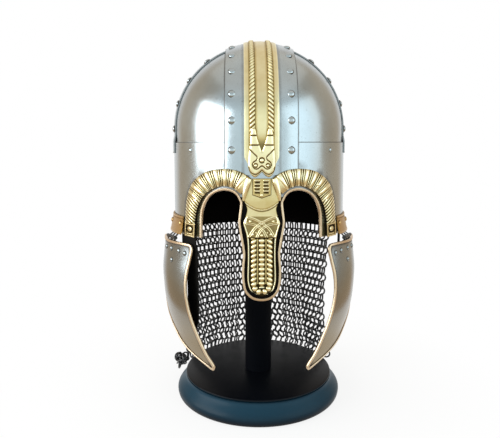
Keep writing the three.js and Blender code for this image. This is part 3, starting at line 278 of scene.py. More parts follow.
@dataclass(frozen=True)
class Skull:
    """The oval skull: upright walls below the spring line and half an ellipsoid above it.

    In every method, out is how far the points stand off this form.
    """

    half_width: float = 95.8
    half_length: float = 110.3
    rise: float = 94.0
    spring: float = 124.0

    def shrink(self, height: Array, out: Array) -> Array:
        """How far the level oval has shrunk: sqrt(1 - (height above spring / rise) squared)."""
        share = np.maximum(0, height - self.spring) / (self.rise + out)
        return np.sqrt(np.maximum(0, 1 - share**2))

    def level(self, height: Array, out: Array) -> tuple[Array, Array]:
        """The level oval's half-width and half-length at a height."""
        small = self.shrink(height, out)
        return (self.half_width + out) * small, (self.half_length + out) * small

    def around(self, bearing: Array, height: Array, out: Array = 0.0) -> Array:
        """Points of the level ovals: (half width x sin, -half length x cos) of the bearing, in radians to +X."""
        wide, long = self.level(height, out)
        return stack(wide * np.sin(bearing), -long * np.cos(bearing), height)

    def front(self, across: Array, height: Array, out: Array = 0.0) -> Array:
        """Points on the front of the level ovals: -half length x sqrt(1 - (across / half width) squared)."""
        wide, long = self.level(height, out)
        return stack(across, -long * np.sqrt(np.maximum(0, 1 - (across / wide) ** 2)), height)

    def lengthwise(self, across: Array, turn: Array, drop: Array, out: Array = 0.0) -> Array:
        """Points of a band over the crown, on the lengthwise ovals of the dome.

        Args:
            across: Places across the band.
            turn: Radians over the crown, from 0 in front to pi at the nape.
            drop: How far down the upright wall.
            out: The push-out.

        Returns:
            The points.
        """
        reach = np.sqrt(1 - (across / (self.half_width + out)) ** 2)
        along = -(self.half_length + out) * reach * np.cos(turn)
        return stack(across, along, self.spring + (self.rise + out) * reach * np.sin(turn) - drop)

    def sideways(self, along: Array, turn: Array, drop: Array, out: Array, side: Side) -> Array:
        """Points of a band up one side, on the crosswise ovals of the dome.

        Args:
            along: Places across the band, towards the nape.
            turn: Radians over the dome, from 0 at the wall.
            drop: How far down the upright wall.
            out: The push-out.
            side: Which side.

        Returns:
            The points.
        """
        reach = np.sqrt(1 - (along / (self.half_length + out)) ** 2)
        across = side.value * (self.half_width + out) * reach * np.cos(turn)
        return stack(across, along, self.spring + (self.rise + out) * reach * np.sin(turn) - drop)

    def front_normal(self, across: Array) -> Array:
        """The level way out of the wall: the slope of its oval, turned.

        Args:
            across: Places across the front.

        Returns:
            The directions.
        """
        share = across / self.half_width
        slope = np.sqrt(np.maximum(0, 1 - share**2)) / self.half_length
        return unit(stack(share / self.half_width, -slope, np.zeros_like(share)))


SKULL = Skull()


def rim_at(bearing: Array) -> Array:
    """The rim's height at a bearing in degrees: level past the ears, then an easy dip to the nape."""
    turn = np.minimum(bearing, 360 - bearing)
    return RIM_FRONT + (RIM_NAPE - RIM_FRONT) * smoothstep(turn, 97, 122)


def on_stand(points: Array) -> Array:
    """Tips points nose up about the X axis and sets them at their place over the stand.

    Args:
        points: Points of the helmet's frame.

    Returns:
        The same points in the stand's frame.
    """
    c, s = math.cos(TILT), math.sin(TILT)
    x, y, z = np.moveaxis(points, -1, 0)
    return stack(x, c * y + s * z - SKULL_BACK, c * z - s * y + RIM_HEIGHT)


def upright(points: Array) -> Array:
    """Points that are in the stand's frame already."""
    return points


# Meshes


@dataclass(frozen=True)
class Finish:
    """A material, and the name of its slot in the record."""

    material: bpy.types.Material
    slot: str


def net(rows: int, columns: int, closed: bool = False) -> Array:
    """Faces over rows of points, by their numbers, whose last column runs on to the first.

    Args:
        rows: How many rows.
        columns: Points in each.
        closed: Whether the last row runs on to the first as well.

    Returns:
        Four point numbers a row.
    """
    index = np.arange(rows * columns).reshape(rows, columns)
    ahead = np.roll(index, -1, 1)
    faces = np.stack([index, ahead, np.roll(ahead, -1, 0), np.roll(index, -1, 0)], -1)
    return (faces if closed else faces[:-1]).reshape(-1, 4)


def volume_of(points: Array, faces: list[list[int]]) -> float:
    """Six times the volume: the sum of a . (b x c) over each face's fan of triangles, below 0 if inside out."""
    fans = np.array([(face[0], *pair) for face in faces for pair in zip(face[1:], face[2:])])
    return float(np.linalg.det(points[fans]).sum())


@dataclass
class Shell:
    """Closed shells gathered as arrays: points, four-cornered faces, capping faces and a relief value.

    Each method that adds a shell returns these shells, so that steps can follow each other.
    """

    points: list[Array] = field(default_factory=list)
    quads: list[Array] = field(default_factory=list)
    caps: list[list[int]] = field(default_factory=list)
    relief: list[Array] = field(default_factory=list)
    count: int = 0

    def add(
        self, points: Array, quads: Array, caps: Iterable[Sequence[int]] = (), relief: Array | None = None
    ) -> "Shell":
        """Adds one closed shell, turned to face outwards.

        Args:
            points: Its points, one row each.
            quads: Four point numbers a row.
            caps: Faces with other numbers of corners.
            relief: One value a point, or none where all of it is clean.

        Returns:
            These shells.
        """
        tops = [list(map(int, cap)) for cap in caps]
        if volume_of(points, quads.tolist() + tops) < 0:
            quads = quads[:, ::-1]
            tops = [cap[::-1] for cap in tops]
        self.points.append(points)
        self.quads.append(quads + self.count)
        self.caps += [[k + self.count for k in cap] for cap in tops]
        self.relief.append(np.full(len(points), CLEAN) if relief is None else np.clip(relief, 0, 1))
        self.count += len(points)
        return self

    def grid(
        self,
        outer: Array,
        inner: Array,
        wrap: bool = False,
        keep: Array | None = None,
        relief: Array | None = None,
        back: float = 0.5,
    ) -> "Shell":
        """Adds the skin between two matching grids of points.

        Args:
            outer: Points by row and column.
            inner: The matching points of the other face.
            wrap: Whether the last column runs on to the first.
            keep: The cells that are filled; the rest stay open.
            relief: The outer face's relief.
            back: The inner face's, which is 0 where it is painted black as shade.

        Returns:
            These shells.
        """
        rows, columns = outer.shape[:2]
        cells = columns if wrap else columns - 1
        filled = np.ones((rows - 1, cells), bool) if keep is None else keep
        index = np.arange(rows * columns).reshape(rows, columns)
        ahead = np.roll(index, -1, 1)
        a, b = index[:-1, :cells], ahead[:-1, :cells]
        c, d = ahead[1:, :cells], index[1:, :cells]
        deep = rows * columns
        around = np.pad(filled, 1)
        if wrap:
            around[1:-1, 0], around[1:-1, -1] = filled[:, -1], filled[:, 0]
        above, below = around[:-2, 1:-1], around[2:, 1:-1]
        left, right = around[1:-1, :-2], around[1:-1, 2:]
        faces = [np.stack([a, b, c, d], -1)[filled], np.stack([d, c, b, a], -1)[filled] + deep]
        for p, q, beside in ((a, b, above), (b, c, right), (c, d, below), (d, a, left)):
            faces.append(np.stack([p, p + deep, q + deep, q], -1)[filled & ~beside])
        quads = np.vstack(faces)
        points = np.vstack([outer.reshape(-1, 3), inner.reshape(-1, 3)])
        raised = np.full(deep, CLEAN) if relief is None else relief.ravel()
        values = np.concatenate([raised, np.full(deep, back)])
        used, numbers = np.unique(quads, return_inverse=True)
        return self.add(points[used], numbers.reshape(quads.shape), relief=values[used])

    def sweep(self, rings: Array, closed: bool, relief: Array | None = None) -> "Shell":
        """Adds a bar through matching rings of points.

        Args:
            rings: Points by ring and corner.
            closed: Whether the last ring runs on to the first; if not, both ends are capped.
            relief: One value a point.

        Returns:
            These shells.
        """
        spans, corners = rings.shape[:2]
        ends = np.arange(corners)
        caps = [] if closed else [ends[::-1], ends + (spans - 1) * corners]
        values = None if relief is None else relief.ravel()
        return self.add(rings.reshape(-1, 3), net(spans, corners, closed), caps, values)

    def turned(self, profile: Array, sides: int, place: Place, relief: Array | None = None) -> "Shell":
        """Adds a turned solid: the profile's radius times the cosine and sine of each turn.

        Args:
            profile: (radius, height) rows that start and end on the axis.
            sides: Turns round the axis.
            place: What takes the solid from the Z axis to its place.
            relief: One value a point, with both poles last.

        Returns:
            These shells.
        """
        radius, height = profile[1:-1, :1], profile[1:-1, 1:]
        walls = stack(radius * np.cos(circle(sides)), radius * np.sin(circle(sides)), height).reshape(-1, 3)
        poles = [[0, 0, profile[0, 1]], [0, 0, profile[-1, 1]]]
        ring = np.arange(sides)
        pairs = np.stack([ring, np.roll(ring, -1)], 1)
        caps = [[len(walls), *pair] for pair in pairs[:, ::-1]]
        caps += [[len(walls) + 1, *pair] for pair in pairs + len(walls) - sides]
        return self.add(place(np.vstack([walls, poles])), net(len(radius), sides), caps, relief)

    def rivet(self, spot: Array, normal: Array, radius: float = 3.8, rise: float = 2.0) -> "Shell":
        """Adds a domed head, with patina and painted shade dark round its foot: a quarter-ellipse profile turned
        about the normal.

        Args:
            spot: The middle of its foot.
            normal: The way out of the sheet.
            radius: The dome's radius, inside a low collar.
            rise: The dome's height.

        Returns:
            These shells.
        """
        sides, sunk, collar = 16, -0.6, radius + 0.4
        arc = np.linspace(0, math.pi / 2, 7)
        dome = np.stack([radius * np.cos(arc), rise * np.sin(arc)], axis=1)
        profile = np.vstack([[0, sunk], [collar, sunk], [collar, 0.12], dome[:-1], [0, rise]])
        side = unit(np.cross(normal, [0.3, 0.5, 0.8]))
        axes = np.stack([side, np.cross(normal, side), normal])
        shade = np.concatenate([np.repeat([0.1, 0.1, 0.15, 0.7, *[0.85] * 4], sides), [0.1, 0.85]])
        return self.turned(profile, sides, lambda points: spot + points @ axes, shade)

    def rivet_on(self, at: Callable[[float], Array], radius: float = 3.8, rise: float = 2.0) -> "Shell":
        """Adds a rivet on a surface, from the place at a distance out of it, along the way out."""
        return self.rivet(at(0.0), unit(at(1.0) - at(0.0)), radius, rise)

    def make(
        self,
        name: str,
        finish: Finish,
        *nodes: str,
        body: Body = Body.HELMET,
        crease: float = 40.0,
        place: Place = on_stand,
    ) -> None:
        """Turns the shells into one object that rides on its body and stands for its nodes.

        Args:
            name: The piece's name.
            finish: What it is dressed in.
            nodes: The CAD nodes that it stands for.
            body: The body that it rides on.
            crease: The angle in degrees past which an edge is sharp.
            place: What takes its points to the stand's frame.
        """
        mesh = bpy.data.meshes.new(name)
        points = place(np.vstack(self.points)) * MM
        mesh.from_pydata(points.tolist(), [], np.vstack(self.quads).tolist() + self.caps)
        mesh.attributes.new("relief", "FLOAT", "POINT").data.foreach_set("value", np.concatenate(self.relief))
        mesh.polygons.foreach_set("use_smooth", np.ones(len(mesh.polygons), bool))
        mesh.validate()
        mesh.set_sharp_from_angle(angle=math.radians(crease))
        mesh.materials.append(finish.material)
        made = bpy.data.objects.new(name, mesh)
        bpy.context.scene.collection.objects.link(made)
        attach(made, body.value)
        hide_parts(*nodes)
        log.info("%s: %d faces on %s", name, len(mesh.polygons), body.value)


# Shader maths


class Wire:
    """A shader socket that takes part in Python sums; each sum adds its Math node."""

    def __init__(self, tree: bpy.types.NodeTree, socket: bpy.types.NodeSocket) -> None:
        """Keeps the tree and the output socket."""
        self.tree = tree
        self.socket = socket

    def math(self, operation: str, *inputs: "Wire | float") -> "Wire":
        """Adds a Math node.

        Args:
            operation: Its operation.
            inputs: The values or links that it works on.

        Returns:
            Its result.
        """
        node = self.tree.nodes.new("ShaderNodeMath")
        node.operation = operation
        for slot, value in zip(node.inputs, inputs):
            if isinstance(value, Wire):
                self.tree.links.new(value.socket, slot)
            else:
                slot.default_value = float(value)
        return Wire(self.tree, node.outputs[0])

    def __add__(self, other: "Wire | float") -> "Wire":
        """self + other."""
        return self.math("ADD", self, other)

    def __radd__(self, other: float) -> "Wire":
        """other + self."""
        return self.math("ADD", other, self)

    def __sub__(self, other: "Wire | float") -> "Wire":
        """self - other."""
        return self.math("SUBTRACT", self, other)

    def __rsub__(self, other: float) -> "Wire":
        """other - self."""
        return self.math("SUBTRACT", other, self)

    def __mul__(self, other: "Wire | float") -> "Wire":
        """self * other."""
        return self.math("MULTIPLY", self, other)

    def __rmul__(self, other: float) -> "Wire":
        """other * self."""
        return self.math("MULTIPLY", other, self)

    def clamped(self) -> "Wire":
        """The value held between 0 and 1."""
        return self.math("MINIMUM", self.math("MAXIMUM", self, 0.0), 1.0)


class Nodes:
    """A node tree, with a method that adds any node."""

    def __init__(self, tree: bpy.types.NodeTree) -> None:
        """Keeps the tree."""
        self.tree = tree

    def node(self, kind: str, settings: dict[str, object] | None = None, **sockets: object) -> bpy.types.Node:
        """Adds a node.

        Args:
            kind: The node's type.
            settings: Properties that are set first.
            sockets: Values or links by input name, with spaces written as underscores.

        Returns:
            The node.
        """
        made = self.tree.nodes.new(kind)
        for name, value in (settings or {}).items():
            setattr(made, name, value)
        for name, value in sockets.items():
            self.feed(made.inputs[name.replace("_", " ")], value)
        return made

    def feed(self, slot: bpy.types.NodeSocket, value: object) -> None:
        """Gives a socket a value or a link.

        Args:
            slot: The input.
            value: What it gets.
        """
        if isinstance(value, Wire):
            self.tree.links.new(value.socket, slot)
        else:
            slot.default_value = value

    def wire(self, node: bpy.types.Node, output: str | int = 0) -> Wire:
        """One of a node's outputs."""
        return Wire(self.tree, node.outputs[output])

    def ramp(self, value: Wire, *stops: tuple[float, Colour]) -> Wire:
        """Adds a colour ramp.

        Args:
            value: Where on the ramp.
            stops: Places on it and their colours.

        Returns:
            The colour.
        """
        node = self.node("ShaderNodeValToRGB", Fac=value)
        steps = node.color_ramp.elements
        while len(steps) < len(stops):
            steps.new(0.5)
        for step, (where, colour) in zip(steps, stops):
            step.position = where
            step.color = (*colour, 1.0)
        return self.wire(node, "Color")

    def mixed(self, share: Wire | float, low: Wire | Colour, high: Wire | Colour) -> Wire:
        """Adds a mix of two colours.

        Args:
            share: How much of the second one there is.
            low: The first colour.
            high: The second colour.

        Returns:
            The colour between them.
        """
        node = self.node("ShaderNodeMix", {"data_type": "RGBA"})
        self.feed(node.inputs["Factor"], share)
        for slot, colour in ((node.inputs["A"], low), (node.inputs["B"], high)):
            self.feed(slot, colour if isinstance(colour, Wire) else (*colour, 1.0))
        return self.wire(node, "Result")

    def either(self, share: Wire, first: Wire, second: Wire) -> Wire:
        """Adds a mix of two shaders.

        Args:
            share: How much of the second one there is.
            first: The first shader.
            second: The second shader.

        Returns:
            The shader between them.
        """
        node = self.node("ShaderNodeMixShader", Fac=share)
        self.feed(node.inputs[1], first)
        self.feed(node.inputs[2], second)
        return self.wire(node)

    def rays(self, *kinds: str) -> Wire:
        """1 for the named kinds of ray and 0 for others: the sum of their Light Path outputs."""
        path = self.node("ShaderNodeLightPath")
        return sum((self.wire(path, f"Is {kind} Ray") for kind in kinds), 0.0).clamped()


class Palette(Nodes):
    """One material's node tree."""

    def __init__(self, name: str) -> None:
        """Starts a material with its shader and output.

        Args:
            name: The material's name.
        """
        self.material = bpy.data.materials.new(name)
        self.material.use_nodes = True
        super().__init__(self.material.node_tree)
        self.shader = self.tree.nodes["Principled BSDF"]

    def place(self) -> Wire:
        """Object coordinates."""
        return self.wire(self.node("ShaderNodeTexCoord"), "Object")

    def stretched(self, scale: Triple) -> Wire:
        """Object coordinates scaled along each axis."""
        return self.wire(self.node("ShaderNodeMapping", Vector=self.place(), Scale=scale))

    def noise(self, scale: float, detail: float = 4.0, rough: float = 0.55, vector: Wire | None = None) -> Wire:
        """Cloudy noise of features about 1 / scale metres across, from 0 to 1."""
        at = vector or self.place()
        return self.wire(self.node("ShaderNodeTexNoise", Vector=at, Scale=scale, Detail=detail, Roughness=rough))

    def relief(self) -> Wire:
        """The relief value stored on the mesh's points."""
        return self.wire(self.node("ShaderNodeAttribute", {"attribute_name": "relief"}), "Fac")

    def bumped(self, height: Wire, strength: float, distance: float) -> Wire:
        """A normal bent by a height in metres."""
        node = self.node("ShaderNodeBump", Height=height, Strength=strength, Distance=distance)
        return self.wire(node, "Normal")

    def finish(self, fixed: dict[str, object], **varied: Wire) -> bpy.types.Material:
        """Sets the shader up.

        Args:
            fixed: Its plain values by socket name.
            varied: What varies over the surface, with spaces written as underscores.

        Returns:
            The material.
        """
        for name, value in fixed.items():
            self.shader.inputs[name].default_value = value
        for name, value in varied.items():
            self.tree.links.new(value.socket, self.shader.inputs[name.replace("_", " ")])
        return self.material


# Finishes


@dataclass(frozen=True)
class PolishedSteel:
    """Sheet steel buffed by hand: fine scratches, a little haze, dark patina with painted shade along seams and
    castings, and painted black shade where the relief is 0.

    Where foot is given, a painted warm reflection from below tints the steel below about a hand's breadth over the
    floor.
    """

    name: str = "polished_steel"
    clean: Colour = (0.46, 0.52, 0.55)
    dull: Colour = (0.37, 0.405, 0.42)
    patina_and_shade: Colour = (0.07, 0.056, 0.045)
    specks: Colour = (0.16, 0.14, 0.12)
    # Painted shade: the black that inner faces and the brow band behind the nasal get where the relief is 0
    painted_shade_black: Colour = (0.006, 0.0055, 0.005)
    roughness: float = 0.235
    foot: Colour | None = None

    def build(self) -> Finish:
        """Makes the material."""
        p = Palette(self.name)
        haze = p.noise(22.0, 5.0, 0.6)
        # Low relief runs to the patina colour: patina with painted shade along seams, castings, rivet feet and plate
        # edges
        wear_and_shade = (p.relief() * 1.6 - 0.05 + (p.noise(160.0, 3.0) - 0.5) * 0.35).clamped()
        streaks = p.noise(1.0, 3.0, 0.7, p.stretched((900.0, 900.0, 90.0)))
        grain = p.noise(1.0, 2.0, 0.6, p.stretched((2600.0, 2600.0, 260.0)))
        pits = ((p.noise(420.0, 2.0, 0.5) - 0.66) * 12.5).clamped()
        colour = p.mixed((haze * 1.6 - 0.35).clamped(), self.dull, self.clean)
        # Painted warm reflection from below: near the floor the colour runs to the foot colour
        if self.foot:
            height = p.wire(p.node("ShaderNodeSeparateXYZ", Vector=p.place()), "Z")
            colour = p.mixed(((height - 0.1) * 14.0).clamped(), self.foot, colour)
        spotted = p.mixed(pits * 0.35, colour, self.specks)
        # Painted shade: where the relief is 0 the colour is black
        unshaded = (p.relief() * 12.0).clamped()
        aged_and_shaded = p.mixed(unshaded, self.painted_shade_black, p.mixed(wear_and_shade, self.patina_and_shade, spotted))
        rough = self.roughness + (haze - 0.5) * 0.16 + (streaks - 0.5) * 0.12 + (1.0 - wear_and_shade) * 0.25
        normal = p.bumped(grain * 0.5 + streaks * 0.5, 0.05, 0.0004)
        made = p.finish({"Metallic": 1.0}, Base_Color=aged_and_shaded, Roughness=rough.clamped(), Normal=normal)
        return Finish(made, "steel")


@dataclass(frozen=True)
class Brass:
    """Brass whose crests are rubbed bright and whose hollows keep a brown tarnish; in some places low relief paints
    shade and high relief a highlight.
    """

    name: str
    bright: Colour
    plain: Colour
    tarnish_and_shade: Colour
    roughness: float
    mottle: float
    slot: str = "brass"

    def build(self) -> Finish:
        """Makes the material."""
        p = Palette(self.name)
        cloud = p.noise(60.0, 5.0, 0.65)
        wear_and_shade = (p.relief() + (cloud - 0.5) * self.mottle).clamped()
        colour = p.ramp(wear_and_shade, (0.04, self.tarnish_and_shade), (0.42, self.plain), (0.95, self.bright))
        rough = self.roughness + (1.0 - wear_and_shade) * 0.3 + (cloud - 0.5) * 0.14
        normal = p.bumped(p.noise(520.0, 3.0, 0.6), 0.12, 0.0003)
        made = p.finish({"Metallic": 1.0}, Base_Color=colour, Roughness=rough.clamped(), Normal=normal)
        return Finish(made, self.slot)


@dataclass(frozen=True)
class BlackenedIron:
    """Iron wire with a blue-black finish, rubbed to grey in patches."""

    name: str = "blackened_iron"
    dark: Colour = (0.035, 0.036, 0.04)
    rubbed: Colour = (0.17, 0.165, 0.16)

    def build(self) -> Finish:
        """Makes the material."""
        p = Palette(self.name)
        patches = p.noise(140.0, 4.0, 0.6)
        colour = p.ramp(patches, (0.4, self.dark), (0.72, self.rubbed))
        normal = p.bumped(p.noise(1500.0, 2.0), 0.15, 0.0002)
        made = p.finish({"Metallic": 1.0}, Base_Color=colour, Roughness=0.3 + patches * 0.25, Normal=normal)
        return Finish(made, "dark_iron")


@dataclass(frozen=True)
class BlackLacquer:
    """Turned wood under black lacquer: satin, with a trace of dust and ripple, and a painted blue sheen on the
    relief.
    """

    name: str = "black_lacquer"
    colour: Colour = (0.002, 0.0025, 0.004)
    painted_sheen: Colour = (0.008, 0.034, 0.056)
    dust: Colour = (0.008, 0.009, 0.011)
    roughness: float = 0.36
    gloss: float = 0.1
    coat: float = 0.02

    def build(self) -> Finish:
        """Makes the material."""
        p = Palette(self.name)
        ripple = p.noise(34.0, 3.0, 0.5)
        dust = p.noise(900.0, 2.0, 0.6)
        # Painted blue sheen where the relief is high, on the base's side
        side = p.mixed(p.relief(), self.colour, self.painted_sheen)
        colour = p.mixed((dust * 2.2 - 1.35).clamped(), side, self.dust)
        rough = self.roughness + (ripple - 0.5) * 0.14 + (dust - 0.5) * 0.08
        normal = p.bumped(ripple * 0.7 + dust * 0.03, 0.12, 0.002)
        fixed = {"Metallic": 0.0, "Coat Weight": self.coat, "Coat Roughness": 0.2, "Specular IOR Level": self.gloss}
        return Finish(p.finish(fixed, Base_Color=colour, Roughness=rough, Normal=normal), "blackwood")


@dataclass(frozen=True)
class BlackLeather:
    """Vegetable-tanned hide dyed black, with pebbled grain and paler rubbed high spots."""

    name: str = "black_leather"
    colour: Colour = (0.002, 0.002, 0.002)
    rubbed: Colour = (0.007, 0.006, 0.005)

    def build(self) -> Finish:
        """Makes the material."""
        p = Palette(self.name)
        cells = p.node("ShaderNodeTexVoronoi", {"feature": "DISTANCE_TO_EDGE"}, Vector=p.place(), Scale=650.0)
        folds = p.noise(90.0, 4.0, 0.6)
        colour = p.mixed((folds * 1.5 - 0.4).clamped(), self.colour, self.rubbed)
        normal = p.bumped(p.wire(cells, "Distance") * 0.8 + folds * 0.6, 0.3, 0.0006)
        fixed = {"Metallic": 0.0, "Specular IOR Level": 0.1}
        made = p.finish(fixed, Base_Color=colour, Roughness=0.5 + folds * 0.2, Normal=normal)
        return Finish(made, "leather")


@dataclass(frozen=True)
class PaleFloor:
    """A plain pale floor that keeps the object's shadow.

    Out to clear metres from the stand's middle, near of what is seen is white; over reach metres more
    it runs out into the backdrop's white.
    """

    name: str = "pale_floor"
    colour: Colour = (0.86, 0.86, 0.86)
    near: float = 0.84
    clear: float = 0.12
    reach: float = 0.2

    def build(self) -> bpy.types.Material:
        """Makes the material."""
        p = Palette(self.name)
        away = p.wire(p.node("ShaderNodeVectorMath", {"operation": "LENGTH"}, Vector=p.place()), "Value")
        white = self.near + ((away - self.clear) * (1 / self.reach)).clamped() * (1 - self.near)
        share = p.rays("Camera", "Glossy", "Transmission") * white
        glow = p.wire(p.node("ShaderNodeEmission", Color=(1.0, 1.0, 1.0, 1.0), Strength=1.0))
        both = p.either(share, p.wire(p.shader), glow)
        p.feed(p.tree.nodes["Material Output"].inputs["Surface"], both)
        return p.finish({"Base Color": (*self.colour, 1.0), "Roughness": 0.9, "Specular IOR Level": 0.1})


@dataclass(frozen=True)
class Finishes:
    """Every finish, built once: the skull's steel, the cheek pieces' darker, warmer copy that paints their shade,
    three brasses and the rest.
    """

    steel: Finish
    toned: Finish
    brass: Finish
    binding: Finish
    trim: Finish
    iron: Finish
    lacquer: Finish
    matt: Finish
    leather: Finish

    @classmethod
    def mixed(cls) -> "Finishes":
        """Builds them."""
        # The cheek pieces' steel: a darker, warmer copy whose colour paints their shade, with a painted warm
        # reflection near the floor
        toned = PolishedSteel("toned_steel", (0.33, 0.36, 0.37), (0.26, 0.28, 0.285), foot=(0.31, 0.25, 0.165))
        cast = Brass("cast_brass", (0.95, 0.89, 0.6), (0.56, 0.43, 0.18), (0.03, 0.02, 0.007), 0.22, 0.35)
        drawn = Brass("drawn_brass", (0.72, 0.57, 0.4), (0.5, 0.36, 0.23), (0.1, 0.06, 0.035), 0.26, 0.3)
        trim = ((0.56, 0.38, 0.17), (0.42, 0.26, 0.1), (0.12, 0.06, 0.02), 0.28, 0.4, "trim_brass")
        return cls(
            steel=PolishedSteel().build(),
            toned=toned.build(),
            brass=cast.build(),
            binding=drawn.build(),
            trim=Brass("rolled_brass", *trim).build(),
            iron=BlackenedIron().build(),
            lacquer=BlackLacquer().build(),
            matt=BlackLacquer("matt_black", roughness=0.7, gloss=0.04, coat=0.0).build(),
            leather=BlackLeather().build(),
        )


# Stand


@dataclass
class Stand:
    """The turned base, the post and the head block."""

    finishes: Finishes
    base_radius: float = 100.0
    side_inset: float = 10.4
    roll: float = 4.5
    roll_height: float = 7.2
    top_radius: float = 86.4
    top: float = 29.9
    post_radius: float = 16.0
    head_radius: float = 54.0
    sides: int = 120

    def build(self) -> None:
        """Makes the three turned pieces; the relief is 1 on the base's side, which carries a painted blue sheen."""
        glossy, dull = self.finishes.lacquer, self.finishes.matt
        parts = (("base", self.base(), glossy), ("post", self.post(), dull), ("head", self.head(), dull))
        for word, profile, finish in parts:
            rows = np.concatenate([profile[1:-1, 1], profile[[0, -1], 1]])
            # Painted sheen: high on the base's side, fading out towards its top and its foot
            painted_sheen = (word == "base") * smoothstep(self.top - 0.7 - rows, 0.0, 6.0) * smoothstep(rows, 0.0, 18.0)
            relief = np.concatenate([np.repeat(painted_sheen[:-2], self.sides), painted_sheen[-2:]])
            shell = Shell().turned(profile, self.sides, upright, relief)
            node = f"stand_{word}"
            shell.make(f"{node}_lacquered", finish, node, body=Body.STAND, crease=50.0, place=upright)

    def base(self) -> Array:
        """The base's profile: a rolled foot, a smoothstep for its side and a small bead under a flat top."""
        turn = np.linspace(-math.pi / 2, 0, 10)
        foot = np.stack([self.base_radius + self.roll * (np.cos(turn) - 1), self.roll_height * (1 + np.sin(turn))], 1)
        share = np.linspace(0, 1, 22)[1:]
        side = self.base_radius - self.side_inset * smoothstep(share, 0.05, 1.0)
        turn = np.linspace(-math.pi / 2, math.pi / 2, 9)
        bead = np.stack([87.2 + 2.2 * np.cos(turn), 28 + 1.5 * np.sin(turn)], 1)
        flat = [[self.top_radius, self.top], [self.post_radius + 0.6, self.top], [0, self.top]]
        return np.vstack([[0, 0], foot, np.stack([side, self.roll_height + 18.6 * share], 1), bead, flat])

    def post(self) -> Array:
        """The post's profile, with a small groove over its foot, up to its socket in the head block."""
        high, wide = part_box("stand_post")[1].z / MM - 16.5, self.post_radius
        return np.array([[0, 29], [wide, 29], [wide, 30.4], [wide - 0.15, 31], [wide, 32], [wide, high], [0, high]])

    def head(self) -> Array:
        """The head block's profile: a neck on a curve of three control points, under half a ball."""
        low, high = (corner.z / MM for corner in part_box("stand_head"))
        wide, centre = self.head_radius, high - self.head_radius
        controls = np.array([[self.post_radius, low], [wide, low + 7.7], [wide, centre]])
        t = np.linspace(0, 1, 14)[:, None]
        neck = (1 - t) ** 2 * controls[0] + 2 * (1 - t) * t * controls[1] + t**2 * controls[2]
        turn = np.linspace(0, math.pi / 2, 24)[1:-1]
        ball = np.stack([wide * np.cos(turn), centre + wide * np.sin(turn)], 1)
        return np.vstack([[0, low], neck, ball, [0, high]])


# Steel skull


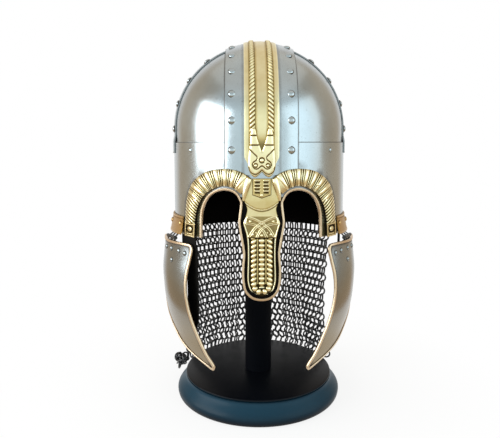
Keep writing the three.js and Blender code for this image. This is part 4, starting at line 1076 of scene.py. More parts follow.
@dataclass
class SteelSkull:
    """The infill plates, the brow band with the face opening, and the two crossing bands."""

    finishes: Finishes
    seam: float = 108.5
    nose_half: float = 37.5
    side_half: float = 30.0
    pitch: float = 29.0
    foot: float = 23.0
    spaces: int = 6
    eye_half: float = 63.0
    eye_top: float = 60.5
    nasal_half: float = 23.0
    nasal_low: float = 53.5
    brow_rivets: tuple[float, ...] = (49.5, 78, 106, 134, 160, 200, 226, 254, 282, 310.5)
    eye_shares: Pairs = (
        (1, 0), (0.995, 0.3), (0.975, 0.55), (0.905, 0.77), (0.79, 0.92), (0.64, 0.995),
        (0.5, 0.985), (0.405, 0.915), (0.35, 0.8), (0.335, 0.72),
    )
    nasal_shares: Pairs = (
        (0.98, 0.62), (1, 0.5), (0.93, 0.28), (0.83, 0.02), (0.8, -0.12), (0.845, -0.42),
        (0.82, -0.66), (0.71, -0.84), (0.4, -0.965), (0, -1),
    )

    def build(self) -> None:
        """Makes every plate."""
        self.brow_band()
        self.nose_to_nape()
        for side in Side:
            self.side_band(side)
            for end, word in ((-1, "front"), (1, "rear")):
                self.infill(side, end, word)

    def face_edge(self, count: int) -> Array:
        """The plate's edge over both eyes and round the nasal.

        Args:
            count: How many points come back.

        Returns:
            (across, height) rows at even lengths along it.
        """
        eye = [(-a * self.eye_half, RIM_FRONT + h * (self.eye_top - RIM_FRONT)) for a, h in self.eye_shares]
        nose = [(-a * self.nasal_half, h * self.nasal_low) for a, h in self.nasal_shares]
        return evenly(even_spline(mirrored(np.array(eye + nose))), count)

    def patina_and_shade(self, x: Array, z: Array) -> Array:
        """The brow band's relief: low, for patina and painted shade, beside the nose band and each casting, and 0,
        for painted black shade, all over the nasal.

        Args:
            x: Places across the front.
            z: Heights over the rim's plane.

        Returns:
            The relief values.
        """
        beside = np.where(z > 70, np.abs(x) - self.nose_half, 9.0)
        near = z < 92
        gap = np.full(x.shape, 9.0)
        for line in BrowCasting(self.finishes, Side.RIGHT).edges():
            gap[near] = np.minimum(gap[near], distance_to(line, np.abs(x[near]), z[near]))
        nasal = (1 - smoothstep(np.abs(x), 24.0, 27.0)) * (1 - smoothstep(z, 52.0, 56.0))
        # Patina with painted shade along the nose band's edge and round the castings; 0, painted black shade, behind
        # the nasal
        grime_and_shade = np.maximum.reduce([
            0.9 * (1 - smoothstep(np.abs(beside), 0.3, 1.3)),
            0.85 * (1 - smoothstep(gap, 0.8, 3.6)),
            nasal,
        ])
        return np.where(nasal > 0.5, 0.0, CLEAN - 0.6 * grime_and_shade)

    def brow_band(self) -> None:
        """The ring of plate, cut where the face opening's outline passes; its binding hides the cut."""
        bearing = np.concatenate([np.arange(-75, 75.01, 0.6), np.arange(78, 282.1, 3.0)])
        low = np.arange(-56, RIM_FRONT - 0.5, 1.1)
        high = np.concatenate([RIM_FRONT + np.arange(0, 58, 1.2), [70, 76, 84, 96, 104, self.seam - 0.8, self.seam]])
        rows, turns = np.meshgrid(np.concatenate([low, high]), bearing, indexing="ij")
        stretch = (self.seam - rim_at(turns)) / (self.seam - RIM_FRONT)
        rows = np.where(rows < RIM_FRONT, rows, self.seam - (self.seam - rows) * stretch)
        turns = np.radians(turns)
        outer = SKULL.around(turns, rows, BROW_OUT + GAUGE)
        inner = SKULL.around(turns, rows, BROW_OUT)
        middle = (outer + inner) / 2
        cell = (middle[:-1] + middle[1:]) / 2
        cell = (cell + np.roll(cell, -1, 1)) / 2
        wide, deep = SKULL.half_width + 12, -70
        foot = [[wide, RIM_FRONT], [wide, deep], [-wide, deep]]
        cutter = np.vstack([[-wide, RIM_FRONT], self.face_edge(360), foot])
        is_front = cell[..., 1] < 0
        is_cut = inside(cutter, cell[..., 0], cell[..., 2]) & is_front
        is_wall = (np.arange(len(rows) - 1) >= len(low))[:, None]
        keep = ~is_cut & (is_wall | (is_front & (np.abs(cell[..., 0]) < 30)))
        x, y, z = np.moveaxis(outer, -1, 0)
        # In front, patina with painted shade near the nose band and castings; the inner face is painted black as
        # shade
        relief = np.where(y < 0, self.patina_and_shade(x, z), CLEAN)
        shell = Shell().grid(outer, inner, wrap=True, keep=keep, relief=relief, back=0.0)
        for turn in self.brow_rivets:
            shell.rivet_on(lambda out: SKULL.around(math.radians(turn), 100.6, BROW_OUT + GAUGE + out), 2.3, 1.3)
        shell.make("brow_band_plate", self.finishes.steel, "brow_band")

    def across_band(self, half: float, count: int) -> tuple[Array, Array]:
        """Columns across a band, close together at both edges, where patina and painted shade darken it.

        Args:
            half: The band's half-width.
            count: Columns between its edges.

        Returns:
            Their places across and their relief.
        """
        edge = half - np.array([0.0, 0.35, 0.8, 1.5])
        across = np.concatenate([-edge, np.linspace(-half + 3, half - 3, count), edge[::-1]])
        return across, CLEAN - 0.62 * (1 - smoothstep(half - np.abs(across), 0.1, 0.8))

    def nose_to_nape(self) -> None:
        """The broad band over the crown, with rivets near both edges, which turn in onto the infills."""
        turn = np.concatenate([np.zeros(12), np.linspace(0, math.pi, 110), np.full(16, math.pi)])[:, None]
        drop = np.concatenate([np.linspace(48, 4, 12), np.zeros(110), np.linspace(6, 94, 16)])[:, None]
        across, wear_and_shade = self.across_band(self.nose_half, 23)
        # Patina with painted shade along the band's edges and beside the crest strip's edges
        crest = 1 - smoothstep(np.abs(np.abs(across) - Crest.half), 0.4, 2.0)
        relief = np.broadcast_to(wear_and_shade - 0.55 * crest, (len(turn), len(across)))
        turned_in = smoothstep(np.abs(across), self.nose_half - 1.2, self.nose_half - 0.6)
        under = BAND_OUT - 1.6 * turned_in * (drop < SKULL.spring - self.seam)
        faces = [SKULL.lengthwise(across, turn, drop, out) for out in (BAND_OUT + GAUGE, under)]
        shell = Shell().grid(*faces, relief=relief)
        quarter = math.pi / 4 * (SKULL.half_length + SKULL.rise)
        along = np.linspace(-self.foot, quarter, self.spaces + 1)
        turns, lows = np.maximum(0, along) / quarter * math.pi / 2, np.maximum(0, -along)
        for edge in (-30.0, 30.0):
            for at, low in (*zip(turns, lows), *zip(math.pi - turns[:-1], lows[:-1])):
                shell.rivet_on(lambda out: SKULL.lengthwise(edge, at, low, BAND_OUT + GAUGE + out))
        shell.make("nose_to_nape_band_plate", self.finishes.steel, "nose_to_nape_band")

    def side_band(self, side: Side) -> None:
        """A band up one side that steps out over the brow band's upper edge.

        Args:
            side: Which side.
        """
        top = math.acos((self.nose_half - 9) / SKULL.half_width)
        fall = SKULL.spring - self.seam
        drop = np.concatenate([np.linspace(fall + 11.5, 0, 30), np.zeros(40)])[:, None]
        turn = np.concatenate([np.zeros(30), np.linspace(0, top, 41)[1:]])[:, None]
        step = (BAND_OUT - BROW_OUT) * smoothstep(drop, fall - 9.7, fall - 0.7)
        along, wear_and_shade = self.across_band(self.side_half, 19)
        # Patina with painted shade along the band's edges and at its foot over the brow band
        relief = np.minimum(wear_and_shade, CLEAN - 0.6 * bump(drop - fall - 11.5, 1.5))
        faces = [SKULL.sideways(along, turn, drop, BROW_OUT + out + step, side) for out in (GAUGE, 0.0)]
        shell = Shell().grid(*faces, relief=relief)
        rise = self.pitch / ((SKULL.half_width + SKULL.rise) / 2)
        for edge in (-22.5, 22.5):
            for at in np.arange(int(math.radians(60) / rise) + 1) * rise:
                shell.rivet_on(lambda out: SKULL.sideways(edge, at, 0.0, BROW_OUT + GAUGE + out, side))
        shell.make(f"side_band_{side.word}_plate", self.finishes.steel, f"side_band_{side.word}")

    def infill(self, side: Side, end: int, word: str) -> None:
        """One quarter of the dome: level ovals between the two crossing bands, tucked under them.

        Args:
            side: Which side.
            end: -1 in front, 1 at the rear.
            word: The same in words.
        """
        levels = SKULL.spring + SKULL.rise * np.sin(np.linspace(0, math.radians(68), 30))
        height = np.concatenate([[96, 105], self.seam + np.array([0, 0.8, 1.6, 3.2]), [117], levels])[:, None]
        share = np.maximum(0, height - SKULL.spring) / SKULL.rise
        small = np.sqrt(1 - share**2)
        gaps = np.array([-9.0, 0.0, 0.7, 1.5, 3.0])
        low = np.arcsin((self.nose_half + gaps) / (SKULL.half_width * small))
        high = np.arccos((self.side_half + gaps[::-1]) / (SKULL.half_length * small))
        between = low[:, -1:] + (high[:, :1] - low[:, -1:]) * np.linspace(0, 1, 24)[1:-1]
        bearing = np.hstack([low, between, high])
        seam = np.concatenate([gaps, np.full(22, 9.0), gaps[::-1]])
        # Patina with painted shade along the edges under the crossing bands and at the brow band's seam; the inner
        # face is painted black as shade
        grime_and_shade = np.maximum(1 - smoothstep(seam, 0.2, 1.0), 1 - smoothstep(height - self.seam, 0.3, 1.6))
        faces = []
        for out in (GAUGE, 0.0):
            across = side.value * (SKULL.half_width + out) * small * np.sin(bearing)
            along = end * (SKULL.half_length + out) * small * np.cos(bearing)
            faces.append(stack(across, along, height + out * share))
        node = f"infill_{word}_{side.word}"
        shell = Shell().grid(*faces, relief=CLEAN - 0.56 * grime_and_shade, back=0.0)
        shell.make(f"{node}_plate", self.finishes.steel, node)


# Bindings, which are channels bent along an edge


@dataclass(frozen=True)
class Channel:
    """A rounded brass channel: a U section whose slot holds the plate's edge."""

    grip: float = 1.9
    cover: float = 0.8
    slot: float = 0.8
    wall: float = 0.7
    over: float = 0.3

    def section(self) -> Array:
        """The section as (past the edge, push-out) points: a half-round nose, two legs and the slot."""
        high, grip, over = self.slot + self.wall, self.grip, self.over
        turn = np.linspace(-math.pi / 2, math.pi / 2, 9)
        nose = np.stack([self.cover + self.wall * (np.cos(turn) - 1), high * np.sin(turn)], 1)
        lips = [[over - grip, high], [-grip, high - over]]
        inner = [[-grip, self.slot], [over, self.slot], [over, -self.slot], [-grip, -self.slot]]
        under = [[-grip, over - high], [over - grip, -high]]
        return np.vstack([nose, lips, inner, under])

    def along(self, points: Array, normals: Array, closed: bool, centre: Array) -> Array:
        """Rings of the section along an edge.

        Args:
            points: The edge, at mid-plate.
            normals: The plate's outward direction at each point.
            closed: Whether the edge closes.
            centre: A point that the channel's nose turns away from.

        Returns:
            The rings, by point and corner.
        """
        if closed:
            run = np.roll(points, -1, 0) - np.roll(points, 1, 0)
        else:
            run = np.gradient(points, axis=0)
        side = unit(np.cross(unit(run), normals))
        if ((points - centre) * side).sum() < 0:
            side = -side
        shape = self.section()
        return points[:, None] + side[:, None] * shape[:, :1] + normals[:, None] * shape[:, 1:]


@dataclass
class FaceBinding:
    """The brass channel round both eyes and the nasal."""

    finishes: Finishes
    skull: SteelSkull

    def build(self) -> None:
        """Sweeps the channel along the face edge, its nose down and away from the brow."""
        across, height = self.skull.face_edge(420).T
        points = SKULL.front(across, height, BROW_OUT + GAUGE / 2)
        brow = np.array([0.0, -SKULL.half_length, 300.0])
        rings = Channel().along(points, SKULL.front_normal(across), False, brow)
        Shell().sweep(rings, False).make("face_binding_brass", self.finishes.binding, "face_binding")


# Cast brass


@dataclass
class Crest:
    """The crest strip with two rope lines, and the forked beast head at its lower end."""

    finishes: Finishes
    half: float = 17.7
    rope: float = 9.4
    rope_half: float = 2.9
    strand: float = 4.6
    foot: float = 88.0
    head_half: float = 14.0
    head_low: float = 75.0
    head_length: float = 49.0
    head_seat: float = 5.4
    step: float = 0.4
    head_shares: Pairs = (
        (0, 0.09), (0.25, 0.02), (0.52, -0.02), (0.8, 0.05), (0.97, 0.16), (1, 0.3), (0.96, 0.48),
        (0.87, 0.66), (0.84, 0.84), (0.68, 0.98), (0.5, 0.98), (0.3, 0.77), (0, 0.52),
    )
    contour: Pairs = (
        (12.6, 102.4), (8.4, 98.0), (4.9, 94.2), (5.2, 91.6), (8.6, 88.9), (9.5, 85.8), (7.4, 82.8),
        (4.4, 82.4), (1.8, 84.4), (0, 85.6),
    )
    chin: Pairs = ((13.0, 84.0), (11.8, 79.6), (8.4, 77.2), (4.2, 77.6), (0, 81.2))

    def build(self) -> None:
        """Makes the strip and the head."""
        self.strip()
        self.head()

    def strip(self) -> None:
        """The strip: plain margins and middle, and two ropes whose strands slant along it.

        The rope's height is a half-round across the line, times a wave along the length that runs
        at a slant, so that its strands twist.
        """
        front, crown, back = 75, 560, 150
        turn = np.concatenate([np.zeros(front), np.linspace(0, math.pi, crown), np.full(back, math.pi)])[:, None]
        fall = np.linspace(SKULL.spring - self.foot, 0.4, front)
        drop = np.concatenate([fall, np.zeros(crown), np.linspace(0.6, 94, back)])[:, None]
        near = self.rope + np.linspace(-3.4, 3.4, 21)
        across = np.unique(np.concatenate([np.linspace(-self.half, self.half, 19), -near, near]))
        length = run_length(SKULL.lengthwise(0.0, turn[:, 0], drop[:, 0], CREST_OUT))
        x, s = np.meshgrid(across, length)
        rope = np.zeros_like(x)
        for line in (-self.rope, self.rope):
            away = x - line
            wave = np.abs(np.sin(math.pi * (s + math.copysign(0.9, line) * away) / self.strand))
            rope = np.maximum(rope, bump(away, self.rope_half) ** 0.8 * np.sqrt(wave))
        beside = np.abs(x) - self.rope
        groove = np.minimum(bump(beside - 3.2, 0.5) + bump(beside + 3.2, 0.5), 1)
        edge = bump(np.abs(x) - self.half + 0.5, 0.9)
        rounded = np.clip((self.half - np.abs(x)) / 0.6, 0, 1)
        out = CREST_OUT + 0.7 + 0.3 * rounded + 1.7 * rope - 0.3 * groove
        plain = 0.66 - 0.35 * groove + 0.2 * edge
        relief = np.where(np.abs(beside) < self.rope_half, 1.3 * rope - 0.3, plain)
        high = SKULL.spring - drop
        # Painted shade: the strip is darker in the V between the beast head's ears
        fork_shade = smoothstep(high, 97, 99) * (1 - smoothstep(high, 106, 120)) * (np.abs(x) < 6.4) * (turn == 0)
        taper = 1 - 0.16 * (1 - smoothstep(s, 0.0, 9.0)) ** 2
        faces = [SKULL.lengthwise(x * taper, turn, drop, at) for at in (out, CREST_OUT)]
        shell = Shell().grid(*faces, relief=relief - 0.42 * fork_shade)
        shell.make("crest_strip_brass", self.finishes.brass, "crest_band")

    def head_relief(self, x: Array, z: Array) -> tuple[Array, Array]:
        """The head's ornament: cut lines for the contour, chin and ears, rings round the eyes and the boss.

        Args:
            x: Places across the head.
            z: Heights over the rim's plane.

        Returns:
            What is cut and what is raised, each from 0 to about 1.
        """
        cuts = np.zeros_like(x)
        for line in (self.contour, self.chin):
            curve = centripetal(np.array(line), False, 8)
            cuts = np.maximum(cuts, bump(distance_to(curve, np.abs(x), z), 0.55))
        for level in (106.6, 116.2):
            bow = level - 0.5 * bump(np.abs(x) - 8.0, 5.0)
            cuts = np.maximum(cuts, bump(z - bow, 0.6))
        eye = np.hypot(np.abs(x) - 6.2, z - 85.8)
        boss = np.hypot(x, z - 91.0)
        cuts = np.maximum.reduce([cuts, bump(boss - 2.5, 0.6), 0.9 * bump(eye - 1.9, 0.55)])
        return cuts, np.maximum(1.3 * bump(boss, 1.9), bump(eye, 1.3))

    def head(self) -> None:
        """The head: a quarter-round cushion inside its outline, whose edge points move onto the outline."""
        half = np.array([(a * self.head_half, self.head_low + h * self.head_length) for a, h in self.head_shares])
        right = centripetal(half, False, 12)
        outline = np.vstack([right, right[1:-1][::-1] * [-1, 1]])
        wide = self.head_half + 1
        low, high = self.head_low - 2, self.head_low + self.head_length + 1
        x, z = np.meshgrid(np.arange(-wide, wide + 0.01, self.step), np.arange(low, high + 0.01, self.step))
        gap = distance_to(np.vstack([outline, outline[:1]]), x, z)
        signed = np.where(inside(outline, x, z), gap, -gap)
        cell = (signed[:-1, :-1] + signed[1:, 1:] + signed[1:, :-1] + signed[:-1, 1:]) / 4
        slope_z, slope_x = np.gradient(signed, self.step)
        shift = np.where((np.abs(signed) < self.step * 1.2) & (signed < 0), signed, 0.0)
        x, z = x - shift * slope_x, z - shift * slope_z
        depth = np.clip(signed, 0, None)
        cushion = 2.0 * np.sqrt(np.clip(1 - (1 - np.clip(depth / 4.5, 0, 1)) ** 2, 0, 1))
        cuts, raised = self.head_relief(x, z)
        fade = smoothstep(depth, 0.1, 0.8)
        out = self.head_seat + 2.2 + cushion + (0.6 * raised - 0.8 * cuts) * fade
        relief = 0.74 + 0.2 * raised - 0.85 * cuts * fade - 0.4 * (1 - smoothstep(depth, 0, 0.7))
        faces = [SKULL.front(x, z, at) for at in (out, self.head_seat)]
        shell = Shell().grid(*faces, keep=cell > -self.step / 4, relief=relief)
        shell.make("crest_head_brass", self.finishes.brass, "crest_head", crease=60.0)


@dataclass
class LadderPlate:
    """The small pointed plate between the brows, with four sunk marks down each side and a rivet."""

    finishes: Finishes
    half: float = 9.7
    low: float = 52.5
    high: float = 72.5
    seat: float = 4.4
    marks: tuple[float, ...] = (58.3, 61.8, 65.3, 68.8)
    rivet_at: float = 55.8

    def build(self) -> None:
        """A plate whose foot comes to a blunt point; each mark is a hollow with a raised lip over it."""
        share = np.linspace(0, 1, 80)[:, None]
        u = np.linspace(-1, 1, 71)[None]
        x = self.half * u + 0 * share
        foot = 3.4 * np.abs(u)
        z = self.low + foot * (1 - share) + (self.high - self.low) * share
        slots, lips = np.zeros_like(z), np.zeros_like(z)
        reach = smoothstep(np.abs(x), 1.5, 2.1) * (1 - smoothstep(np.abs(x), 6.8, 7.4))
        for level in self.marks:
            slots = np.maximum(slots, bump(z - level, 0.95) * reach)
            lips = np.maximum(lips, bump(z - level - 1.7, 0.7) * reach)
        edge = smoothstep(np.minimum(self.half - np.abs(x), z - self.low - foot), 0, 0.9)
        out = self.seat + 1.3 + 0.6 * edge + 0.5 * lips - 0.8 * slots
        relief = 0.42 + 0.5 * lips - 0.36 * slots - 0.5 * (1 - edge)
        shell = Shell().grid(SKULL.front(x, z, out), SKULL.front(x, z, self.seat), relief=relief)
        shell.rivet_on(lambda far: SKULL.front(0.0, self.rivet_at, self.seat + 1.8 + far), 1.7, 1.3)
        shell.make("nose_ladder_plate_brass", self.finishes.brass, "nose_ladder_plate", crease=60.0)


@dataclass
class NasalPlate:
    """The nasal's casting: a collar, a knotwork panel, and a U of slanted beads round a middle row."""

    finishes: Finishes
    top: float = 72.0
    low: float = -48.5
    half: float = 18.0
    pitch: float = 4.9
    bend: float = -36.0
    column: float = 8.2
    bead_half: float = 3.2
    middle_half: float = 3.4
    lip: float = 0.6
    panel_low: float = 12.4
    shares: tuple[float, ...] = (
        0.56, 0.62, 0.7, 0.82, 0.945, 0.88, 0.785, 0.82, 0.915, 1.01, 0.94, 0.86, 0.805, 0.78, 0.765,
        0.76, 0.76, 0.765, 0.775, 0.785, 0.79, 0.78, 0.72, 0.59, 0.31,
    )
    outer_band: Pairs = ((-14, 33.2), (-8, 31.4), (0, 27.4), (7, 21.6), (12.5, 13.5))
    inner_band: Pairs = ((15.5, 26.5), (10.5, 26.2), (5, 24.4), (-1, 19.8), (-5, 12.6))
    border: Pairs = ((-16.6, 26.8), (-15.6, 30.5), (-14.3, 33.6), (-8, 32.2), (0, 28.9))
    studs: tuple[Triple, ...] = ((11.8, 29.0, 1.3), (9.2, 15.4, 1.3), (0.0, 14.6, 1.5), (5.6, 17.2, 0.9))

    def half_width(self, z: Array) -> Array:
        """The plate's half-width at a height, with its rolled lip."""
        return self.lip + self.half * share_at(self.shares, (self.top - z) / (self.top - self.low))

    def beads(self, x: Array, z: Array) -> Array:
        """The bead rows' height.

        Away from the U's line and along it, at a slant, are the two ways across a bead; the row
        fans out round the foot. The middle row stands level.

        Args:
            x: Places across the plate.
            z: Heights over the rim's plane.

        Returns:
            0 between the beads to 1 on their tops.
        """
        is_leg, below = z > self.bend, z - self.bend
        away = np.where(is_leg, np.abs(x), np.hypot(x, below)) - self.column
        turn = np.arctan2(np.abs(x), 1e-9 - below)
        along = np.where(is_leg, below, (turn - math.pi / 2) * self.column)
        slant = np.where(is_leg, 0.45 * away, 0.0)
        side = self.bead(away, along + slant, self.bead_half) * smoothstep(-z, -12.2, -11.4)
        reach = (z < 11.5) & (below > -3.4)
        return np.maximum(side, self.bead(x, z - 9.0, self.middle_half) * reach)

    def bead(self, away: Array, along: Array, half: float) -> Array:
        """A row of beads: half an ellipsoid a pitch, from the shares away from the row and along it."""
        step = np.mod(along + self.pitch / 2, self.pitch) - self.pitch / 2
        return np.sqrt(np.clip(1 - (away / half) ** 2 - (step / (self.pitch * 0.53)) ** 2, 0, 1))

    def knot(self, x: Array, z: Array) -> Array:
        """The panel: four bands that cross, each a pair of fine ridges, under a border that dips at the middle.

        Args:
            x: Places across the plate.
            z: Heights over the rim's plane.

        Returns:
            0 on the ground to about 1 on the ridges.
        """
        level = np.zeros_like(x)
        outer, inner = np.array(self.outer_band), np.array(self.inner_band)
        for line in (outer, inner, outer * [-1, 1], inner * [-1, 1]):
            gap = distance_to(centripetal(line, False, 10), x, z)
            level = np.maximum(level, 0.85 * bump(gap - 0.8, 0.55))
        border = centripetal(mirrored(np.array(self.border)), False, 8)
        level = np.maximum(level, bump(distance_to(border, x, z), 0.75))
        for across, high, size in self.studs:
            level = np.maximum(level, 1.1 * bump(np.hypot(np.abs(x) - across, z - high), size))
        return level * smoothstep(z, 12.2, 13.0) * (1 - smoothstep(z, 34.6, 35.4))

    def build(self) -> None:
        """Lays the ornament over a plate that follows the half-widths."""
        z = np.linspace(self.low, self.top, 330)[:, None]
        u = np.linspace(-1, 1, 101)[None]
        wide = self.half_width(z)
        x = wide * u
        z = z + 2.6 * smoothstep(-z, 42.0, 48.5) * np.abs(u) ** 2.2
        beads, knot = self.beads(x, z), self.knot(x, z)
        arc_line = 40.5 + (x / 15.5) ** 2 * 6.5
        edge = wide - np.abs(x)
        rim = bump(edge - 0.9, 0.75) * (z < 33)
        arc = bump(z - arc_line, 0.6) * (z > 38)
        # Painted shadow: a dark line just under the arc's raised line, where the plate is flat
        under = bump(z - arc_line + 1.3, 0.7) * (z > 38)
        top = 1 - smoothstep(z, 49.0, 61.0)
        collar = smoothstep(z - arc_line, 0.6, 1.6) * top
        flat = 0.3 + 0.75 * smoothstep(z, 11.6, 12.6) * top + 0.5 * collar
        out = CREST_OUT + flat + np.maximum.reduce([knot, 2.2 * beads, 0.9 * rim, arc])
        is_field = rim < 0.05
        relief = 0.6 + 0.4 * np.maximum(arc, rim) - 0.12 * collar - 0.45 * under
        relief = np.where((z >= self.panel_low) & (z < 34) & is_field, 0.22 + 0.8 * knot, relief)
        relief = np.where((z < self.panel_low) & is_field, 1.25 * beads - 0.2, relief)
        channel = bump(np.abs(x) - 4.3, 0.8) * (z < 11) * (z > self.bend)
        relief = np.maximum(relief, 0.42 * channel) - 0.4 * bump(edge, 0.35)
        shell = Shell().grid(SKULL.front(x, z, out), SKULL.front(x, z, CREST_OUT - 1.0), relief=relief)
        shell.make("nasal_plate_brass", self.finishes.brass, "nasal_plate", crease=60.0)


@dataclass
class BrowCasting:
    """A ribbed half-round casting over one eye, from a smooth horned root at the nose to a block at the rim."""

    finishes: Finishes
    side: Side
    reach: float = 76.5
    height: float = 72.5
    half: float = 9.4
    crown: float = 4.2
    path: Pairs = (
        (0.21, 0.89), (0.33, 0.975), (0.5, 1.01), (0.69, 0.97), (0.85, 0.845), (0.945, 0.64),
        (0.985, 0.4), (1, 0.12),
    )
    widths: tuple[float, ...] = (1, 0.97, 0.94, 1, 0.96, 0.8, 0.66, 0.6, 0.58)
    horn: tuple[Triple, ...] = (
        (13.2, 72.5, 3.0), (14.2, 69.0, 3.5), (15.8, 64.0, 3.2), (17.6, 57.0, 2.3), (18.6, 50.0, 1.0),
    )
    unit_length: float = 8.3
    leg_pitch: float = 3.3
    block: float = 15.0
    bar: float = 3.2
    boss: float = 8.3

    def centre(self, count: int) -> tuple[Array, Array, Array, Array]:
        """The centre line.

        Args:
            count: How many points come back.

        Returns:
            Its points, directions, lengths so far and half-widths.
        """
        line = evenly(centripetal(np.array(self.path) * [self.reach, self.height], False), count)
        length = run_length(line)
        return line, unit(np.gradient(line, axis=0)), length, self.half * share_at(self.widths, length / length[-1])

    def edges(self) -> tuple[Array, Array]:
        """Both long edges as (across, height) points: the centre line, a half-width to each side."""
        line, tangent, _, wide = self.centre(80)
        aside = np.stack([-tangent[:, 1], tangent[:, 0]], 1) * wide[:, None]
        return line + aside, line - aside

    def ribs(self, length: Array, share: Array) -> Array:
        """Rib height: over the arch one broad rib and two fine ones by turns, down the leg even fine ones.

        Args:
            length: The length along the centre line.
            share: The same as a share of the whole.

        Returns:
            0 between the ribs to 1 on their tops.
        """
        at = np.mod(length + 3.0, self.unit_length)
        broad = bump(at - 2.2, 2.3) ** 0.7
        fine = 0.95 * np.maximum(bump(at - 5.4, 0.85), bump(at - 7.4, 0.85))
        leg = bump(np.mod(length, self.leg_pitch) - self.leg_pitch / 2, self.leg_pitch * 0.48)
        low = smoothstep(share, 0.6, 0.64)
        return np.maximum(broad, fine) * (1 - low) + leg * low

    def block_mark(self, left: Array, v: Array, wide: Array) -> Array:
        """The block's ornament: a border, a boss in a hollow ring, and a bar.

        Args:
            left: The length left to the casting's lower end.
            v: Places across, from -1 to 1.
            wide: The half-widths.

        Returns:
            Below 0 in the ring, to about 1 on the border and more on the boss.
        """
        ends = bump(left - self.block + 1.4, 0.9) + bump(left - 0.9, 0.9)
        border = smoothstep(np.abs(v), 0.7, 0.8) + ends
        radius = np.hypot(left - self.boss, v * wide)
        bar = bump(left - self.bar, 0.9) * (np.abs(v) < 0.62)
        raised = np.maximum.reduce([np.clip(border, 0, 1), 1.7 * bump(radius, 2.7), bar])
        return raised - 0.5 * bump(radius - 3.6, 0.9)

    def build(self) -> None:
        """Carries the section along the centre line; the ribs lean over on the leg and stop at both ends."""
        line, tangent, length, wide = self.centre(620)
        v = np.linspace(-1, 1, 41)[None]
        length, wide = length[:, None], wide[:, None]
        share, left = length / length[-1], length[-1] - length + 0 * v
        x = line[:, :1] - tangent[:, 1:] * wide * v
        z = line[:, 1:] + tangent[:, :1] * wide * v
        lean = 0.65 * smoothstep(share, 0.5, 0.68) * wide * v
        block = 1 - smoothstep(left, self.block - 0.4, self.block + 0.4)
        root = 1 - smoothstep(share, 0.045, 0.055)
        middle = (1 - block) * (1 - root)
        crown = self.crown * (np.sqrt(1 - 0.9 * v**2) * (1 - block) + 0.62 * block)
        rib, mark = self.ribs(length + lean, share), self.block_mark(left, v, wide)
        over = smoothstep(-np.maximum(x - 46.9, 66.6 - z), 0.0, 0.6)
        seat = BAND_OUT + (CREST_OUT - BAND_OUT) * over
        out = CREST_OUT + crown + middle * (2.2 * rib - 1.7) + block * 0.8 * mark
        relief = root * 0.66 + middle * (1.6 * rib - 0.5) + block * (0.18 + 0.62 * np.clip(mark, -0.3, 1))
        sign = self.side.value
        faces = [SKULL.front(sign * x, z, at) for at in (out, seat)]
        shell = Shell().grid(*faces, relief=relief - 0.3 * np.abs(v) ** 6)
        self.add_horn(shell)
        if self.side is Side.RIGHT:
            across, high = np.array(58.5), np.array(65.2)
            shell.rivet(SKULL.front(across, high, CREST_OUT + 3.6), SKULL.front_normal(across), 2.0, 1.6)
        node = f"brow_casting_{self.side.word}"
        shell.make(f"{node}_brass", self.finishes.brass, node, crease=60.0)

    def add_horn(self, shell: Shell) -> None:
        """Adds the smooth tapering horn that curls down from the root beside the collar; a painted highlight runs
        along its outer side and painted shade beneath it.

        Args:
            shell: What it is added to.
        """
        curve = evenly(centripetal(np.array(self.horn), False, 12), 40)
        run = unit(np.gradient(curve[:, :2], axis=0))
        turn, wide = circle(16)[None], curve[:, 2:]
        x = curve[:, :1] + run[:, 1:] * wide * np.cos(turn)
        z = curve[:, 1:2] - run[:, :1] * wide * np.cos(turn)
        rings = SKULL.front(self.side.value * x, z, 6.2 + 0.95 * wide * np.sin(turn))
        # Relief high on the outer side for a painted highlight, low towards the plate for painted shade
        shell.sweep(rings, False, 0.65 + 0.4 * np.sin(turn) + 0 * x)


# Rim strip, wire and mail


@dataclass
class Rim:
    """The brass strip round the rim, flared at its foot, and the wire behind it."""

    finishes: Finishes
    start: float = 57.64
    high: float = 28.5
    flare: float = 3.8
    pitch: float = 34.0
    wire_start: float = 117.0
    wire_height: float = 4.6
    wire_out: float = 4.4
    wire_radius: float = 1.2

    def level(self, bearing: Array, share: Array) -> Array:
        """The height at a share of the way up the strip."""
        low = rim_at(bearing)
        return low + (self.high - low) * share

    def build(self) -> None:
        """Makes the strip, a grid that bows out at its foot and has a lip along both edges, and the wire."""
        bearing = np.linspace(self.start, 360 - self.start, 190)
        share, turns = np.meshgrid(np.linspace(0, 1, 26), bearing, indexing="ij")
        flare = self.flare * (1 - share) ** 1.1
        lip = np.maximum(bump(share - 0.06, 0.06), bump(share - 0.94, 0.06))
        z = self.level(turns, share)
        relief = 0.6 + 0.35 * lip - 0.5 * bump(share - 0.86, 0.03) - 0.4 * bump(share - 1.0, 0.02)
        outs = (BAND_OUT + 1.25 + flare + 0.4 * lip, BAND_OUT + flare)
        shell = Shell().grid(*(SKULL.around(np.radians(turns), z, out) for out in outs), relief=relief)
        step = math.degrees(self.pitch / SKULL.half_width)
        span = 360 - self.start * 2
        count = int(span / step)
        seat = BAND_OUT + self.flare * 0.4 + 1.3
        for at in self.start + step * 0.13 + np.arange(count + 1) / count * (span - step * 0.26):
            high = self.level(at, 0.6)
            shell.rivet_on(lambda out: SKULL.around(math.radians(at), high, seat + out), 2.7, 1.6)
        shell.make("rim_trim_brass", self.finishes.trim, "rim_trim")
        self.wire()

    def wire(self) -> None:
        """The wire: a round section carried along the rim behind the strip's foot."""
        turn = np.radians(np.linspace(self.wire_start, 360 - self.wire_start, 120))[:, None]
        up, out = self.wire_radius * np.sin(circle(12)), self.wire_radius * np.cos(circle(12))
        rings = SKULL.around(turn, self.wire_height + up, self.wire_out + out)
        Shell().sweep(rings, False).make("mail_wire_iron", self.finishes.iron, "mail_wire")


